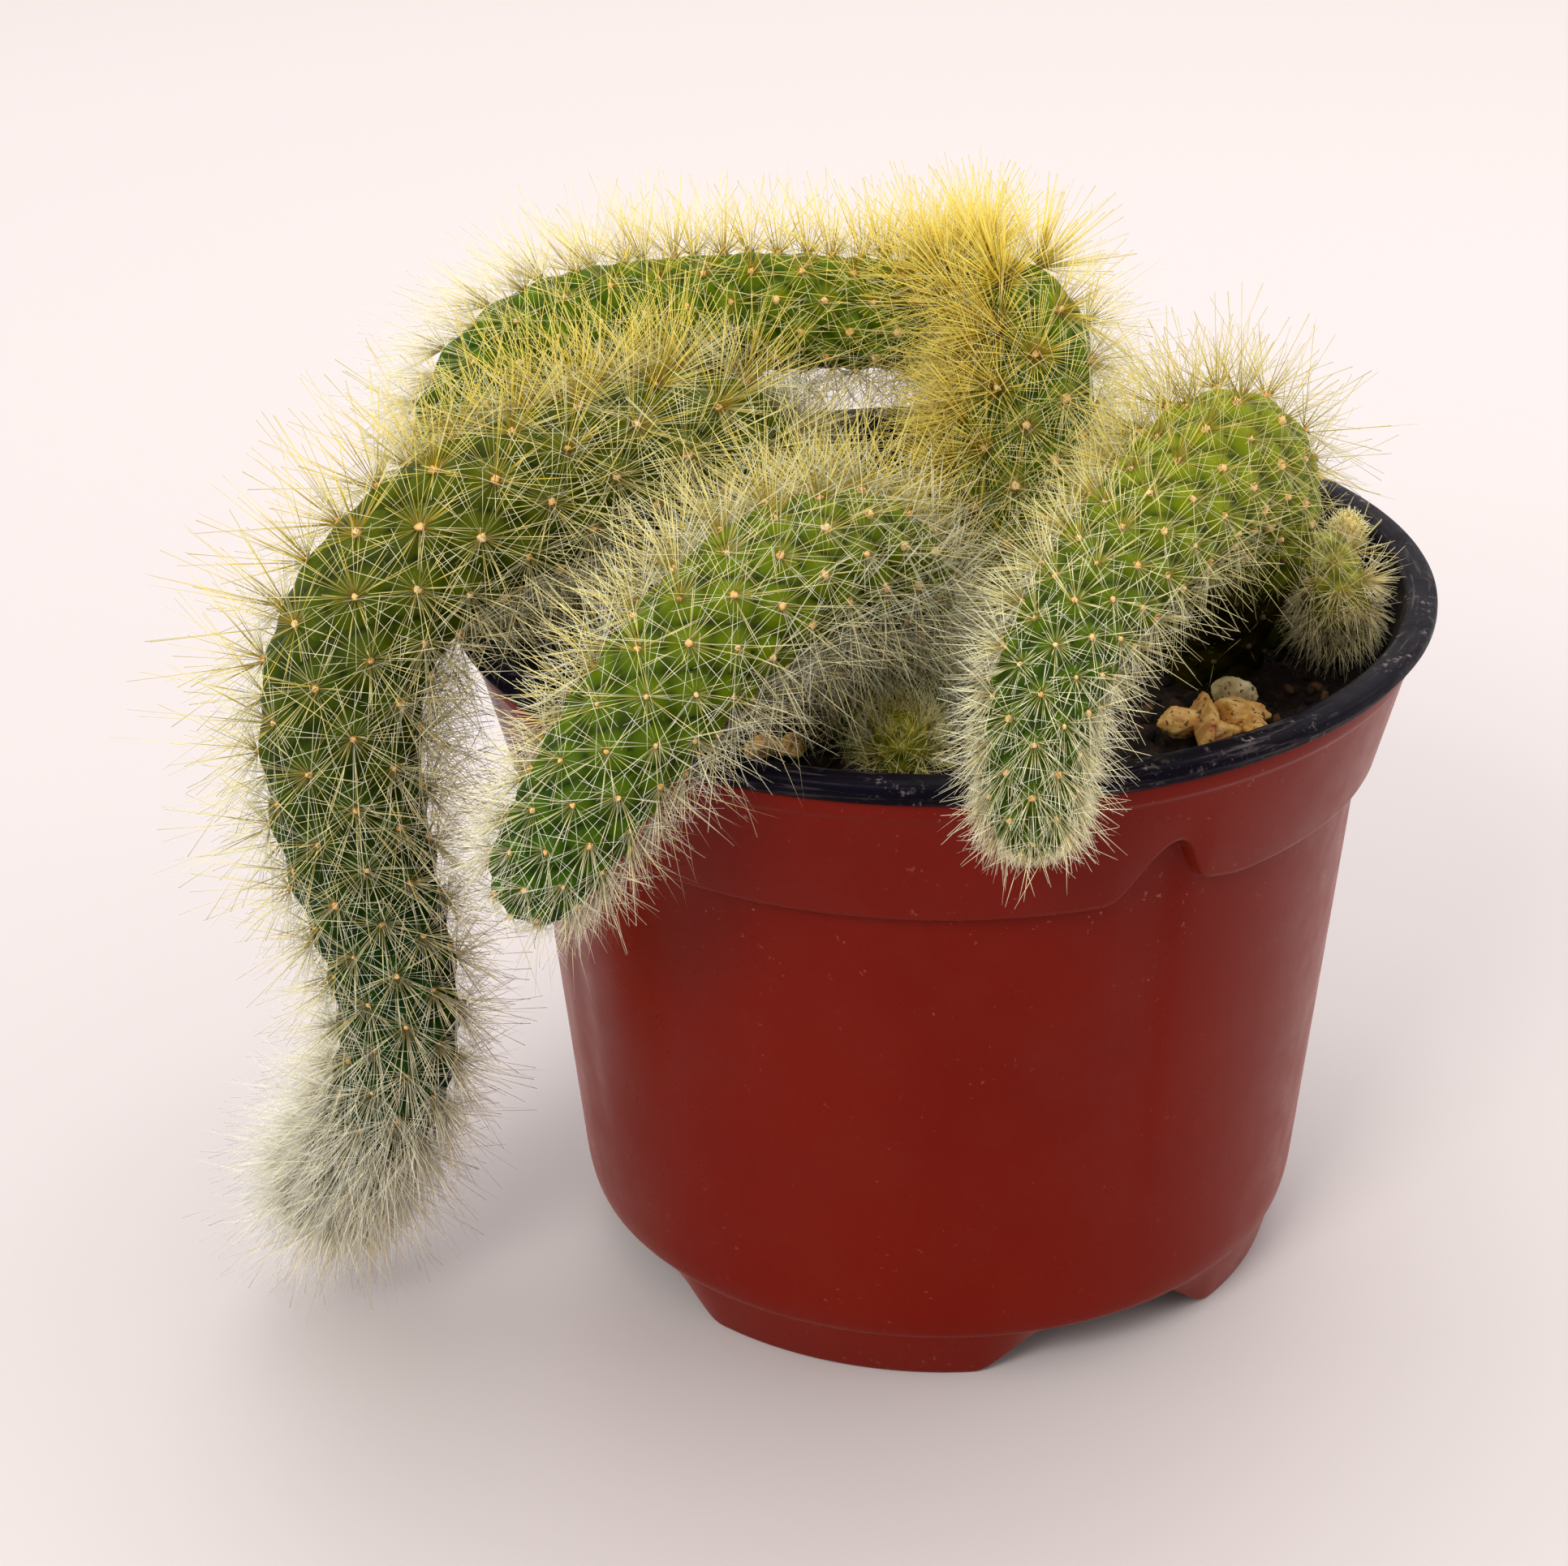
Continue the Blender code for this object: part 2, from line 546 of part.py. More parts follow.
def bridge(faces, outer, inner, turn):
    """Join the four points round a tubercle to the three corners of its areole.

    Both loops run counter-clockwise. The four stand at -90, 0, 90 and 180 degrees,
    the three at turn, turn + 120 and turn + 240.
    """
    start = int(round((turn + 90.0) / 90.0)) % 4
    base = -90.0 + 90.0 * start
    angle = (turn - base + 180.0) % 360.0 - 180.0 + base
    i, o = 0, 0
    while i < 3 or o < 4:
        next_in = angle + 120.0 * (i + 1) if i < 3 else 1e9
        next_out = base + 90.0 * (o + 1) if o < 4 else 1e9
        a, b = outer[(start + o) % 4], inner[i % 3]
        if next_out <= next_in:
            faces.append((a, outer[(start + o + 1) % 4], b))
            o += 1
        else:
            faces.append((a, inner[(i + 1) % 3], b))
            i += 1


def choose_spines(name, spec, c, n, w, side, size, along, clear, rng):
    """Turn of the areole's facet and its three spine tips, None where one won't fit."""
    if rng.random() < spec["skip"] and along < 0.93:
        return 0.0, None
    best, best_turn, best_count = None, 0.0, 0
    lo, hi = spec["spine"]
    for _ in range(6):
        turn = rng.uniform(0.0, 120.0)
        tips = []
        for k in range(3):
            a = math.radians(turn + 60.0 + 120.0 * k + rng.uniform(-12.0, 12.0))
            lean = math.radians(rng.uniform(*spec["spread"]))
            d = math.cos(lean) * n + math.sin(lean) * (math.cos(a) * side + math.sin(a) * w)
            root = c + 0.45 * size * (math.cos(a) * side + math.sin(a) * w)
            length = rng.uniform(lo, hi)
            tip = None
            for part in (1.0, 0.8, 0.6, 0.45):
                q = root + d * length * part
                if clear.ok(name, root, q):
                    tip = q
                    break
            tips.append(tip)
        count = sum(x is not None for x in tips)
        if count > best_count:
            best, best_turn, best_count = (tips, c), turn, count
        if count == 3:
            break
    if best is None:
        return 0.0, None
    for q in best[0]:
        if q is not None:
            clear.add(c, q)
    return best_turn, best[0]


def build_bud(mat):
    """Small egg-shaped woolly bud that sits beside the right shoot's bend."""
    az = np.arange(10) * 36.0
    rows = []
    for lat in (-62.0, -30.0, 0.0, 30.0, 62.0):
        a = math.radians(lat)
        rows.append(ring(az, 1.9 * math.cos(a), 2.3 * math.sin(a)))
    points, faces = lathe(rows)
    make("woolly_bud", points + np.array([51.0, 14.0, 87.4]), faces, mat, 60)


def centre_footprint():
    """Shift every object level, so that the origin is the middle of their footprint."""
    objs = [o for o in bpy.data.objects if o.type == "MESH"]
    pts = np.array([v.co[:] for o in objs for v in o.data.vertices])
    mid = 0.5 * (pts.min(0) + pts.max(0))
    shift = Vector((-round(float(mid[0]), 5), -round(float(mid[1]), 5), 0.0))
    for obj in objs:
        obj.data.transform(Matrix.Translation(shift))
    print("pot axis at", tuple(round(c, 5) for c in shift))


def main():
    for obj in list(bpy.data.objects):
        bpy.data.objects.remove(obj, do_unlink=True)
    rng = np.random.default_rng(SEED)
    terracotta = material("terracotta_plastic", (0.19, 0.014, 0.008), 0.35)
    black = material("black_plastic", (0.02, 0.018, 0.021), 0.5)
    soil = material("dark_soil", (0.012, 0.008, 0.006), 0.95)
    tan = material("tan_grit", (0.45, 0.22, 0.06), 0.9)
    pale = material("pale_grit", (0.55, 0.42, 0.28), 0.9)
    wool = material("cream_wool", (0.62, 0.5, 0.25), 0.95)
    build_pot(terracotta, black)
    build_soil(soil, STEMS)
    build_grit("grit_right", ((28.4, -18.0, 2.9, 20, 0.8), (31.8, -15.8, 2.8, 80, 0.9),
                              (35.6, -14.4, 3.1, 10, 0.75), (32.4, -19.4, 2.6, 50, 0.7),
                              (37.4, -17.0, 2.4, 120, 0.7)), tan, rng)
    build_grit("grit_left", ((-20.6, -24.0, 2.4, 15, 0.8), (-17.6, -22.8, 2.2, 70, 0.8)), tan, rng)
    build_grit("pebble_pale", ((35.6, -8.8, 2.9, 160, 1.0),), pale, rng)
    build_bud(wool)
    paths = {name: Path(spec["line"]) for name, spec in STEMS.items()}
    clear = Clearance(paths)
    for name, spec in STEMS.items():
        green = (0.055, 0.16, 0.012) if "hanging" in name else (0.075, 0.2, 0.012)
        mat = material(name + "_skin", green, 0.45)
        build_stem(name, spec, paths[name], mat, clear, rng)
    centre_footprint()


main()
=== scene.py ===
# %% [markdown]
# # A potted monkey tail cactus
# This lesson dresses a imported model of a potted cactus. The model gives the exact
# place and size of every piece. Here each piece gets its fine form and its finish:
# the moulded plastic of the pot, the crumbly soil, the waxy skin of the stems and
# their many thousand spines. Lengths are typed in millimetres from the pot's axis
# and the floor, and a helper turns them into the model's metres.

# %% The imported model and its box
import math

import bpy
import numpy as np
from mathutils import Matrix, Vector


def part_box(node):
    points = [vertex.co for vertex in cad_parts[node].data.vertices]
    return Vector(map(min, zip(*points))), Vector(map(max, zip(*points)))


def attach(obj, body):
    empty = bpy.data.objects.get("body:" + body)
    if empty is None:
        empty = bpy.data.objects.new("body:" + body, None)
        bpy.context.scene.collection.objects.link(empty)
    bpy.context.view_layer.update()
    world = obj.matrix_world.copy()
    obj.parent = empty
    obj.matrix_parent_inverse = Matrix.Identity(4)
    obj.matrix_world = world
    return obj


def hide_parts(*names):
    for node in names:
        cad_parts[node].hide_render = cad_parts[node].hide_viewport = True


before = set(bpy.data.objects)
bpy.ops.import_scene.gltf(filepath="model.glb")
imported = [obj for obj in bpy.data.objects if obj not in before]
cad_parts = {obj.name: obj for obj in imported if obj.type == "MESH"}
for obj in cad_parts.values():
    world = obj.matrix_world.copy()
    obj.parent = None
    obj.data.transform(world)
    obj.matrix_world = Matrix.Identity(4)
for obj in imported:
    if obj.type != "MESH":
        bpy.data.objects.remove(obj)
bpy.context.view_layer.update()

low, high = (np.array(corner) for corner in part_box("pot_liner_and_rim"))
POT_AXIS = 0.5 * (low + high) * (1.0, 1.0, 0.0)
print("nodes:", sorted(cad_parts))
print("pot axis at", POT_AXIS.round(5), "metres")

# %% [markdown]
# ## Surfaces from arrays
# Every new piece is a surface that numpy works out as whole arrays. Blender wants
# a list of points and, for each face, the numbers of its corners. One helper puts
# both into a mesh. It also takes a colour for each point, which a finish can read.


# %% Helper: a piece from points and faces
def new_object(name, data):
    """Object that shows a mesh, curve, lamp or camera, linked into the scene."""
    thing = bpy.data.objects.new(name, data)
    bpy.context.scene.collection.objects.link(thing)
    return thing


def new_piece(name, points, faces, finish, stands_for=(), slot=None, tints=None, angle=None):
    """Object from points in millimetres and a list of arrays of corner numbers.

    tints gives each point a linear colour. With angle, edges that turn by more than
    that many degrees stay sharp.
    """
    mesh = bpy.data.meshes.new(name)
    places = np.asarray(points, float) * 0.001 + POT_AXIS
    corners = np.concatenate([f.ravel() for f in faces]).astype(np.int32)
    sizes = np.concatenate([np.full(len(f), f.shape[1]) for f in faces]).astype(np.int32)
    mesh.vertices.add(len(places))
    mesh.vertices.foreach_set("co", places.astype(np.float32).ravel())
    mesh.loops.add(len(corners))
    mesh.loops.foreach_set("vertex_index", corners)
    mesh.polygons.add(len(sizes))
    mesh.polygons.foreach_set("loop_start", np.concatenate([[0], np.cumsum(sizes)[:-1]]).astype(np.int32))
    mesh.update(calc_edges=True)
    if tints is not None:
        layer = mesh.color_attributes.new("tint", "FLOAT_COLOR", "POINT")
        rgba = np.concatenate([tints, np.ones((len(tints), 1))], 1)
        layer.data.foreach_set("color", rgba.astype(np.float32).ravel())
    mesh.shade_smooth()
    if angle is not None:
        mesh.set_sharp_from_angle(angle=math.radians(angle))
    mesh.materials.append(finish)
    piece = new_object(name, mesh)
    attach(piece, "root")
    if stands_for:
        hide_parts(*stands_for)
    print("%-22s %7d triangles" % (name, int((sizes - 2).sum())))
    return piece


# %% Helpers: grids, directions and colours
def band_faces(rows, columns, loop_rows=False):
    """Quads of a grid whose columns close in a circle; with loop_rows, its rows do too."""
    i, j = np.mgrid[0:rows - (0 if loop_rows else 1), 0:columns]
    k, m = (j + 1) % columns, (i + 1) % rows
    quads = np.stack([i * columns + j, i * columns + k, m * columns + k, m * columns + j], -1)
    return quads.reshape(-1, 4)


def fan_faces(row_start, columns, tip, upward):
    """Triangles from one row of a grid to a single point; upward if the point comes last."""
    j = np.arange(columns)
    a, b = row_start + j, row_start + (j + 1) % columns
    end = np.full(columns, tip)
    return np.stack([a, b, end] if upward else [b, a, end], -1)


def closed_grid(rows, columns):
    """Faces of a grid that two more points, numbered after all others, close at its ends."""
    last = rows * columns
    return [band_faces(rows, columns), fan_faces(0, columns, last, False),
            fan_faces(last - columns, columns, last + 1, True)]


def copies(faces, many, corners):
    """The same faces for many copies of a shape; each copy has so many corners."""
    return (faces[None] + corners * np.arange(many)[:, None, None]).reshape(-1, faces.shape[1])


def unit(vectors):
    """Each vector divided by its own length."""
    return vectors / np.maximum(np.linalg.norm(vectors, axis=-1, keepdims=True), 1e-9)


def waves(points, size, seed, count=22):
    """Smooth noise of about -1 to 1.

    It is a sum of sine waves in random directions, each about size long.
    """
    rng = np.random.default_rng(seed)
    k = unit(rng.normal(size=(count, 3))) * (2.0 * math.pi / size * rng.uniform(0.6, 1.7, (count, 1)))
    phase = rng.uniform(0.0, 2.0 * math.pi, count)
    return np.sin(points @ k.T + phase).sum(-1) * math.sqrt(2.0 / count) * 0.62


def srgb(red, green, blue):
    """Linear colour of three screen values from 0 to 255."""
    c = np.array([red, green, blue]) / 255.0
    return np.where(c <= 0.04045, c / 12.92, ((c + 0.055) / 1.055) ** 2.4)


# %% Helpers: building a finish from nodes
def new_finish(name, **fixed):
    """Material with a Principled shader; fixed sets its plain values by socket name."""
    mat = bpy.data.materials.new(name)
    mat.use_nodes = True
    shader = mat.node_tree.nodes["Principled BSDF"]
    for key, value in fixed.items():
        shader.inputs[key.replace("_", " ")].default_value = value
    return mat


def add(mat, kind, sockets=None, **settings):
    """Adds a node. sockets gives its inputs, each a plain value or another node's output."""
    node = mat.node_tree.nodes.new("ShaderNode" + kind)
    for key, value in settings.items():
        setattr(node, key, value)
    for key, value in (sockets or {}).items():
        if isinstance(value, bpy.types.NodeSocket):
            mat.node_tree.links.new(value, node.inputs[key])
        else:
            node.inputs[key].default_value = value
    return node


def to_shader(mat, **linked):
    """Links outputs into the material's Principled shader by socket name."""
    shader = mat.node_tree.nodes["Principled BSDF"]
    for key, output in linked.items():
        mat.node_tree.links.new(output, shader.inputs[key.replace("_", " ")])
    print("finish %-20s %2d nodes" % (mat.name, len(mat.node_tree.nodes)))


def noise(mat, where, scale, detail=4.0, roughness=0.55):
    """Noise texture's value at the given coordinates; scale is in waves a metre."""
    sockets = {"Vector": where, "Scale": scale, "Detail": detail, "Roughness": roughness}
    return add(mat, "TexNoise", sockets).outputs["Fac"]


def ramp(mat, value, *stops):
    """Colour ramp through (position, colour) stops, read at value."""
    node = add(mat, "ValToRGB", {"Fac": value})
    steps = node.color_ramp.elements
    while len(steps) < len(stops):
        steps.new(0.5)
    for step, (position, colour) in zip(steps, stops):
        step.position = position
        step.color = (*colour, 1.0)
    return node.outputs["Color"]


def as_value(colour):
    """An output as it is, and a plain colour with its alpha added."""
    if isinstance(colour, bpy.types.NodeSocket):
        return colour
    return (*colour, 1.0)


def blend_colours(mat, share, first, second, kind="MIX"):
    """Mix of two colours, each an output or a plain colour, by a share from 0 to 1."""
    node = add(mat, "Mix", data_type="RGBA", blend_type=kind)
    for place, value in ((0, share), (6, as_value(first)), (7, as_value(second))):
        if isinstance(value, bpy.types.NodeSocket):
            mat.node_tree.links.new(value, node.inputs[place])
        else:
            node.inputs[place].default_value = value
    return node.outputs[2]


def bump(mat, height, strength, distance, under=None):
    """Bump from a height value; under is a coarser bump that it adds to."""
    sockets = {"Height": height, "Strength": strength, "Distance": distance}
    if under is not None:
        sockets["Normal"] = under
    return add(mat, "Bump", sockets).outputs["Normal"]


def grey(value):
    """Linear colour with the same value in all three channels."""
    return (value, value, value)


def grey_ramp(mat, value, *stops):
    """Ramp through (position, grey) stops, read at value."""
    return ramp(mat, value, *[(position, grey(level)) for position, level in stops])


def grey_noise(mat, where, scale, low, high, detail=4.0, roughness=0.55):
    """Noise turned into grey by a ramp between two (noise, grey) stops."""
    return grey_ramp(mat, noise(mat, where, scale, detail, roughness), low, high)


def product(mat, first, second):
    """Two colours multiplied channel by channel."""
    return blend_colours(mat, 1.0, first, second, "MULTIPLY")


def lighter(mat, first, second):
    """In each channel, the lighter one of two colours."""
    return blend_colours(mat, 1.0, first, second, "LIGHTEN")


def object_place(mat):
    """The piece's own coordinates in metres."""
    return add(mat, "TexCoord").outputs["Object"]


def mesh_tint(mat):
    """Colours that new_piece stored with the mesh."""
    return add(mat, "Attribute", attribute_name="tint").outputs["Color"]


# %% [markdown]
# ## The pot
# A nursery pot like this is moulded in one piece from two plastics: a terracotta
# outside and a black inside that turns over as the rim. It could be turned with the
# Spin tool, but the stacking lugs and the gaps between the feet change with the
# angle. So the half profile is a list of corners whose heights may depend on the
# angle. Each corner is rounded with a small curve, because a mould has no sharp
# edge and a rounded edge catches the light.

# %% Measures of the pot
RIM_R, RIM_TOP, RIM_UNDER = 60.0, 88.4, 85.4
HEEL_R, HEEL_Z = 46.2, 7.1
STEP_R, STEP_Z = 52.0, 68.3
COLLAR_R0, COLLAR_R1 = 53.8, 58.2
WALL, GAP, BASE_Z = 0.9, 0.3, 7.3
FOOT_IN, FOOT_OUT = 41.6, 43.6
LUG_AT = 29.0
GAP_TOP, GAP_BOTTOM = 10.2, 21.5
LUG_EDGE = ((-7.5, 68.3), (-4.2, 73.4), (-1.8, 76.0), (1.0, 76.2), (3.8, 69.4), (10.2, 68.3))
POT_COLUMNS = 384


def lug_angle(az):
    """Degrees from the nearest of the four stacking lugs."""
    return (np.asarray(az) - LUG_AT + 45.0) % 90.0 - 45.0


def soften(values, times=2):
    """Values round a circle, each averaged with its neighbours."""
    for _ in range(times):
        values = 0.25 * np.roll(values, 1) + 0.5 * values + 0.25 * np.roll(values, -1)
    return values


def step_height(az):
    """Height of the collar's lower edge, drawn up at each lug."""
    a, z = zip(*LUG_EDGE)
    return np.interp(lug_angle(az), a, z)


def wall_r(z):
    """Radius of the lower wall's cone."""
    return HEEL_R + (STEP_R - HEEL_R) * (z - HEEL_Z) / (STEP_Z - HEEL_Z)


def collar_r(z):
    """Radius of the collar's cone."""
    return COLLAR_R0 + (COLLAR_R1 - COLLAR_R0) * (z - STEP_Z) / (RIM_UNDER - STEP_Z)


az = np.arange(POT_COLUMNS) * 360.0 / POT_COLUMNS
edge = soften(step_height(az))
feet = soften(np.interp(abs(lug_angle(az)), (GAP_TOP, GAP_BOTTOM), (HEEL_Z - 0.5, 0.0)), 3)
print("collar edge from %.1f to %.1f mm, foot ring from %.1f to %.1f mm"
      % (edge.min(), edge.max(), feet.min(), feet.max()))


# %% Helper: a turned shell with rounded corners
def turned_shell(corners, steps=4):
    """Closed band from (radius, height, rounding) corners, each a number or one per column.

    A corner becomes a quadratic curve: (1-t)^2 a + 2t(1-t) corner + t^2 b, where a
    and b lie on the sides that meet there, the rounding away from the corner.
    """
    r = np.stack([np.broadcast_to(c[0], az.shape) for c in corners])
    z = np.stack([np.broadcast_to(c[1], az.shape) for c in corners])
    here = np.stack([r, z], -1)
    size = np.array([c[2] for c in corners])[:, None]
    sides = []
    for other in (np.roll(here, 1, 0), np.roll(here, -1, 0)):
        away = other - here
        length = np.linalg.norm(away, axis=-1)
        sides.append(here + away * (np.minimum(size / length, 0.46))[..., None])
    t = np.linspace(0.0, 1.0, steps)[:, None, None]
    curve = [(1 - t) ** 2 * a + 2 * t * (1 - t) * c + t ** 2 * b
             for a, c, b in zip(sides[0], here, sides[1])]
    curve = np.concatenate(curve)
    turn = np.radians(az)
    points = np.stack([curve[..., 0] * np.sin(turn), -curve[..., 0] * np.cos(turn), curve[..., 1]], -1)
    return points.reshape(-1, 3), [band_faces(len(curve), len(az), loop_rows=True)]


def corner_places(piece):
    """Place of every face corner in metres."""
    mesh = piece.data
    corner = np.empty(len(mesh.loops), np.int32)
    mesh.loops.foreach_get("vertex_index", corner)
    place = np.empty(len(mesh.vertices) * 3, np.float32)
    mesh.vertices.foreach_get("co", place)
    return place.reshape(-1, 3)[corner]


def give_map(piece, uv):
    """UV map from one pair of millimetres for each face corner."""
    piece.data.uv_layers.new(name="round").data.foreach_set("uv", uv.astype(np.float32).ravel())


def ring_map(piece, radius):
    """UV map: the way round at a fixed radius, and up it the sum of height and radius."""
    place = (corner_places(piece) - POT_AXIS) * 1000.0
    turn = np.arctan2(place[:, 0], -place[:, 1]).reshape(-1, 4)
    turn = np.where(turn - turn[:, :1] > math.pi, turn - 2 * math.pi, turn)
    turn = np.where(turn - turn[:, :1] < -math.pi, turn + 2 * math.pi, turn)
    along = np.hypot(place[:, 0], place[:, 1]) + place[:, 2]
    give_map(piece, np.stack([turn.ravel() * radius, along], -1))


# %% [markdown]
# ### Terracotta plastic
# The wall is satin polypropylene. Seen close it has a faint grain, a slightly
# uneven gloss, a film of dust that dulls it, and small pale scuffs that gather on
# the bead under the rim and below the collar's step. Noise textures give each of
# these its own scale. The scuffs are kept to heights where the pot is handled. A
# little reddish sheen warms the wall where it turns away from the eye.

# %% Finish: terracotta plastic
terracotta = new_finish("terracotta_plastic", Roughness=0.3, Specular_IOR_Level=0.075, Sheen_Weight=0.12,
                        Sheen_Roughness=0.35, Sheen_Tint=(1.0, 0.25, 0.12, 1.0))
where = object_place(terracotta)
height = add(terracotta, "SeparateXYZ", {"Vector": where}).outputs["Z"]
clouds = noise(terracotta, where, 38.0, 3.0)
base = ramp(terracotta, clouds, (0.3, srgb(95, 13, 3)), (0.7, srgb(100, 15, 3)))
bead_zone = grey_ramp(terracotta, height, (0.0775, 0.0), (0.0822, 1.0), (0.0840, 0.5))
step_zone = grey_ramp(terracotta, height, (0.0560, 0.0), (0.0670, 0.85), (0.0700, 0.2))
foot_zone = grey_ramp(terracotta, height, (0.0, 0.5), (0.0120, 0.0))
zones = lighter(terracotta, lighter(terracotta, bead_zone, step_zone), foot_zone)
zones = lighter(terracotta, zones, grey(0.2))
flecks = grey_noise(terracotta, where, 1100.0, (0.665, 0.0), (0.72, 1.0), 2.0, 0.7)
patches = grey_noise(terracotta, where, 160.0, (0.47, 0.0), (0.62, 1.0), 3.0)
marks = product(terracotta, product(terracotta, flecks, patches), zones)
dust = grey_noise(terracotta, where, 95.0, (0.45, 0.0), (0.8, 0.07), 5.0, 0.65)
colour = blend_colours(terracotta, dust, base, srgb(106, 63, 52))
colour = blend_colours(terracotta, marks, colour, srgb(145, 108, 94))
rough = grey_noise(terracotta, where, 210.0, (0.3, 0.25), (0.7, 0.36))
grain = bump(terracotta, noise(terracotta, where, 2600.0, 2.0), 0.12, 0.0001)
waviness = bump(terracotta, noise(terracotta, where, 40.0, 1.0), 0.12, 0.0006, grain)
to_shader(terracotta, Base_Color=colour, Roughness=rough, Normal=waviness)

# %% The outer layer: feet, wall, collar, lugs and bead
BEAD_Z = 83.1
outer_corners = [
    (FOOT_IN, feet, 0.25), (FOOT_OUT, feet, 0.45),
    (HEEL_R - 0.9, HEEL_Z - 0.5, 0.3), (HEEL_R - 0.35, HEEL_Z - 0.1, 0.9),
    (wall_r(HEEL_Z + 2.2), HEEL_Z + 2.2, 1.6),
    (wall_r(edge), edge, 0.55), (collar_r(edge + 0.2), edge + 0.2, 0.8),
    (collar_r(BEAD_Z - 0.5), BEAD_Z - 0.5, 0.3), (collar_r(BEAD_Z) + 0.32, BEAD_Z, 0.25),
    (COLLAR_R1 + 0.12, RIM_UNDER - GAP, 0.2), (COLLAR_R1 - WALL, RIM_UNDER - GAP, 0.2),
    (collar_r(edge + WALL) - WALL, edge + WALL, 0.4), (wall_r(edge + WALL) - WALL, edge + WALL, 0.4),
    (wall_r(BASE_Z + 2.4) - WALL, BASE_Z + 2.4, 0.8), (43.2, BASE_Z + WALL, 0.2),
    (FOOT_IN - 0.2, BASE_Z, 0.1)]
new_piece("pot_outer_shell", *turned_shell(outer_corners), terracotta,
          ("pot_outer_layer",), "terracotta_plastic", angle=50.0)

# %% [markdown]
# ### Base plates with drain holes
# The base is a flat disc with seven holes. A flat curve is the simplest way to such
# a shape: Blender fills its outer circle and leaves the inner circles open, and
# Extrude gives it a thickness. It is made a mesh before it is placed.


# %% The two base plates
# Radius of the ring of holes and of one hole, and the plates' rounded edge in metres.
HOLE_RING, HOLE_R = 28.0, 4.0
PLATE_EDGE = 0.00012


def base_plate(name, radius, z0, z1, finish, node):
    """Disc from height z0 to z1 with a middle hole and six round it."""
    flat = bpy.data.curves.new(name, "CURVE")
    flat.dimensions = "2D"
    flat.fill_mode = "BOTH"
    flat.bevel_depth = PLATE_EDGE
    flat.extrude = 0.0005 * (z1 - z0) - flat.bevel_depth
    flat.bevel_resolution = 1
    turns = [math.radians(LUG_AT + 60.0 * k) for k in range(6)]
    holes = [(0.0, 0.0)] + [(HOLE_RING * math.sin(t), -HOLE_RING * math.cos(t)) for t in turns]
    for x, y, r, n in [(0.0, 0.0, radius, 160)] + [(x, y, HOLE_R, 40) for x, y in holes]:
        spline = flat.splines.new("POLY")
        spline.points.add(n - 1)
        spline.use_cyclic_u = True
        t = np.arange(n) * 2.0 * math.pi / n
        xyz = np.stack([x + r * np.cos(t), y + r * np.sin(t), 0 * t], -1) * 0.001
        spline.points.foreach_set("co", np.concatenate([xyz, np.ones((n, 1))], 1).ravel())
    holder = new_object(name + "_outline", flat)
    graph = bpy.context.evaluated_depsgraph_get()
    mesh = bpy.data.meshes.new_from_object(holder.evaluated_get(graph))
    bpy.data.objects.remove(holder)
    mesh.transform(Matrix.Translation(Vector(POT_AXIS) + Vector((0, 0, 0.0005 * (z0 + z1)))))
    mesh.materials.clear()
    mesh.materials.append(finish)
    plate = new_object(name, mesh)
    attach(plate, "root")
    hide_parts(node)
    print("%-22s %7d faces" % (name, len(mesh.polygons)))
    return plate


base_plate("pot_base_plate", FOOT_IN + 0.9, BASE_Z, BASE_Z + WALL, terracotta,
           "pot_outer_layer")

# %% [markdown]
# ### Black plastic
# The rim is the same plastic in near black, and it shows every touch: pale dust and
# rubbed streaks that run along the rim. A pattern that follows the rim needs its
# own coordinates, so the liner carries a UV map whose first axis goes round.

# %% Finish: black plastic
black = new_finish("black_plastic", Roughness=0.4, Specular_IOR_Level=0.04)
around = add(black, "UVMap", uv_map="round").outputs["UV"]
where = object_place(black)
streaks = add(black, "Mapping", {"Vector": around, "Scale": (0.055, 0.9, 1.0)}).outputs["Vector"]
rubbed = grey_noise(black, streaks, 1.6, (0.55, 0.0), (0.72, 0.5), 6.0, 0.7)
specks = grey_noise(black, where, 900.0, (0.56, 0.0), (0.68, 1.0), 3.0, 0.75)
patches = grey_noise(black, where, 120.0, (0.42, 0.0), (0.62, 1.0), 3.0)
worn = lighter(black, product(black, specks, patches), rubbed)
# Faces that point up get a lighter base and keep more of the scuffs; faces that point sideways are
# darker.
normal = add(black, "NewGeometry").outputs["Normal"]
facing_up = add(black, "SeparateXYZ", {"Vector": normal}).outputs["Z"]
lighter_facing_up = grey_ramp(black, facing_up, (0.0, 0.1), (0.9, 0.55))
worn = blend_colours(black, 0.55, worn, lighter_facing_up, "MULTIPLY")
colour = blend_colours(black, lighter_facing_up, srgb(3, 2, 13), srgb(12, 8, 15))
colour = blend_colours(black, worn, colour, srgb(126, 114, 112))
rough = grey_noise(black, where, 300.0, (0.3, 0.34), (0.7, 0.55))
black_grain = bump(black, noise(black, where, 2200.0, 3.0), 0.2, 0.0001)
to_shader(black, Base_Color=colour, Roughness=rough, Normal=black_grain)

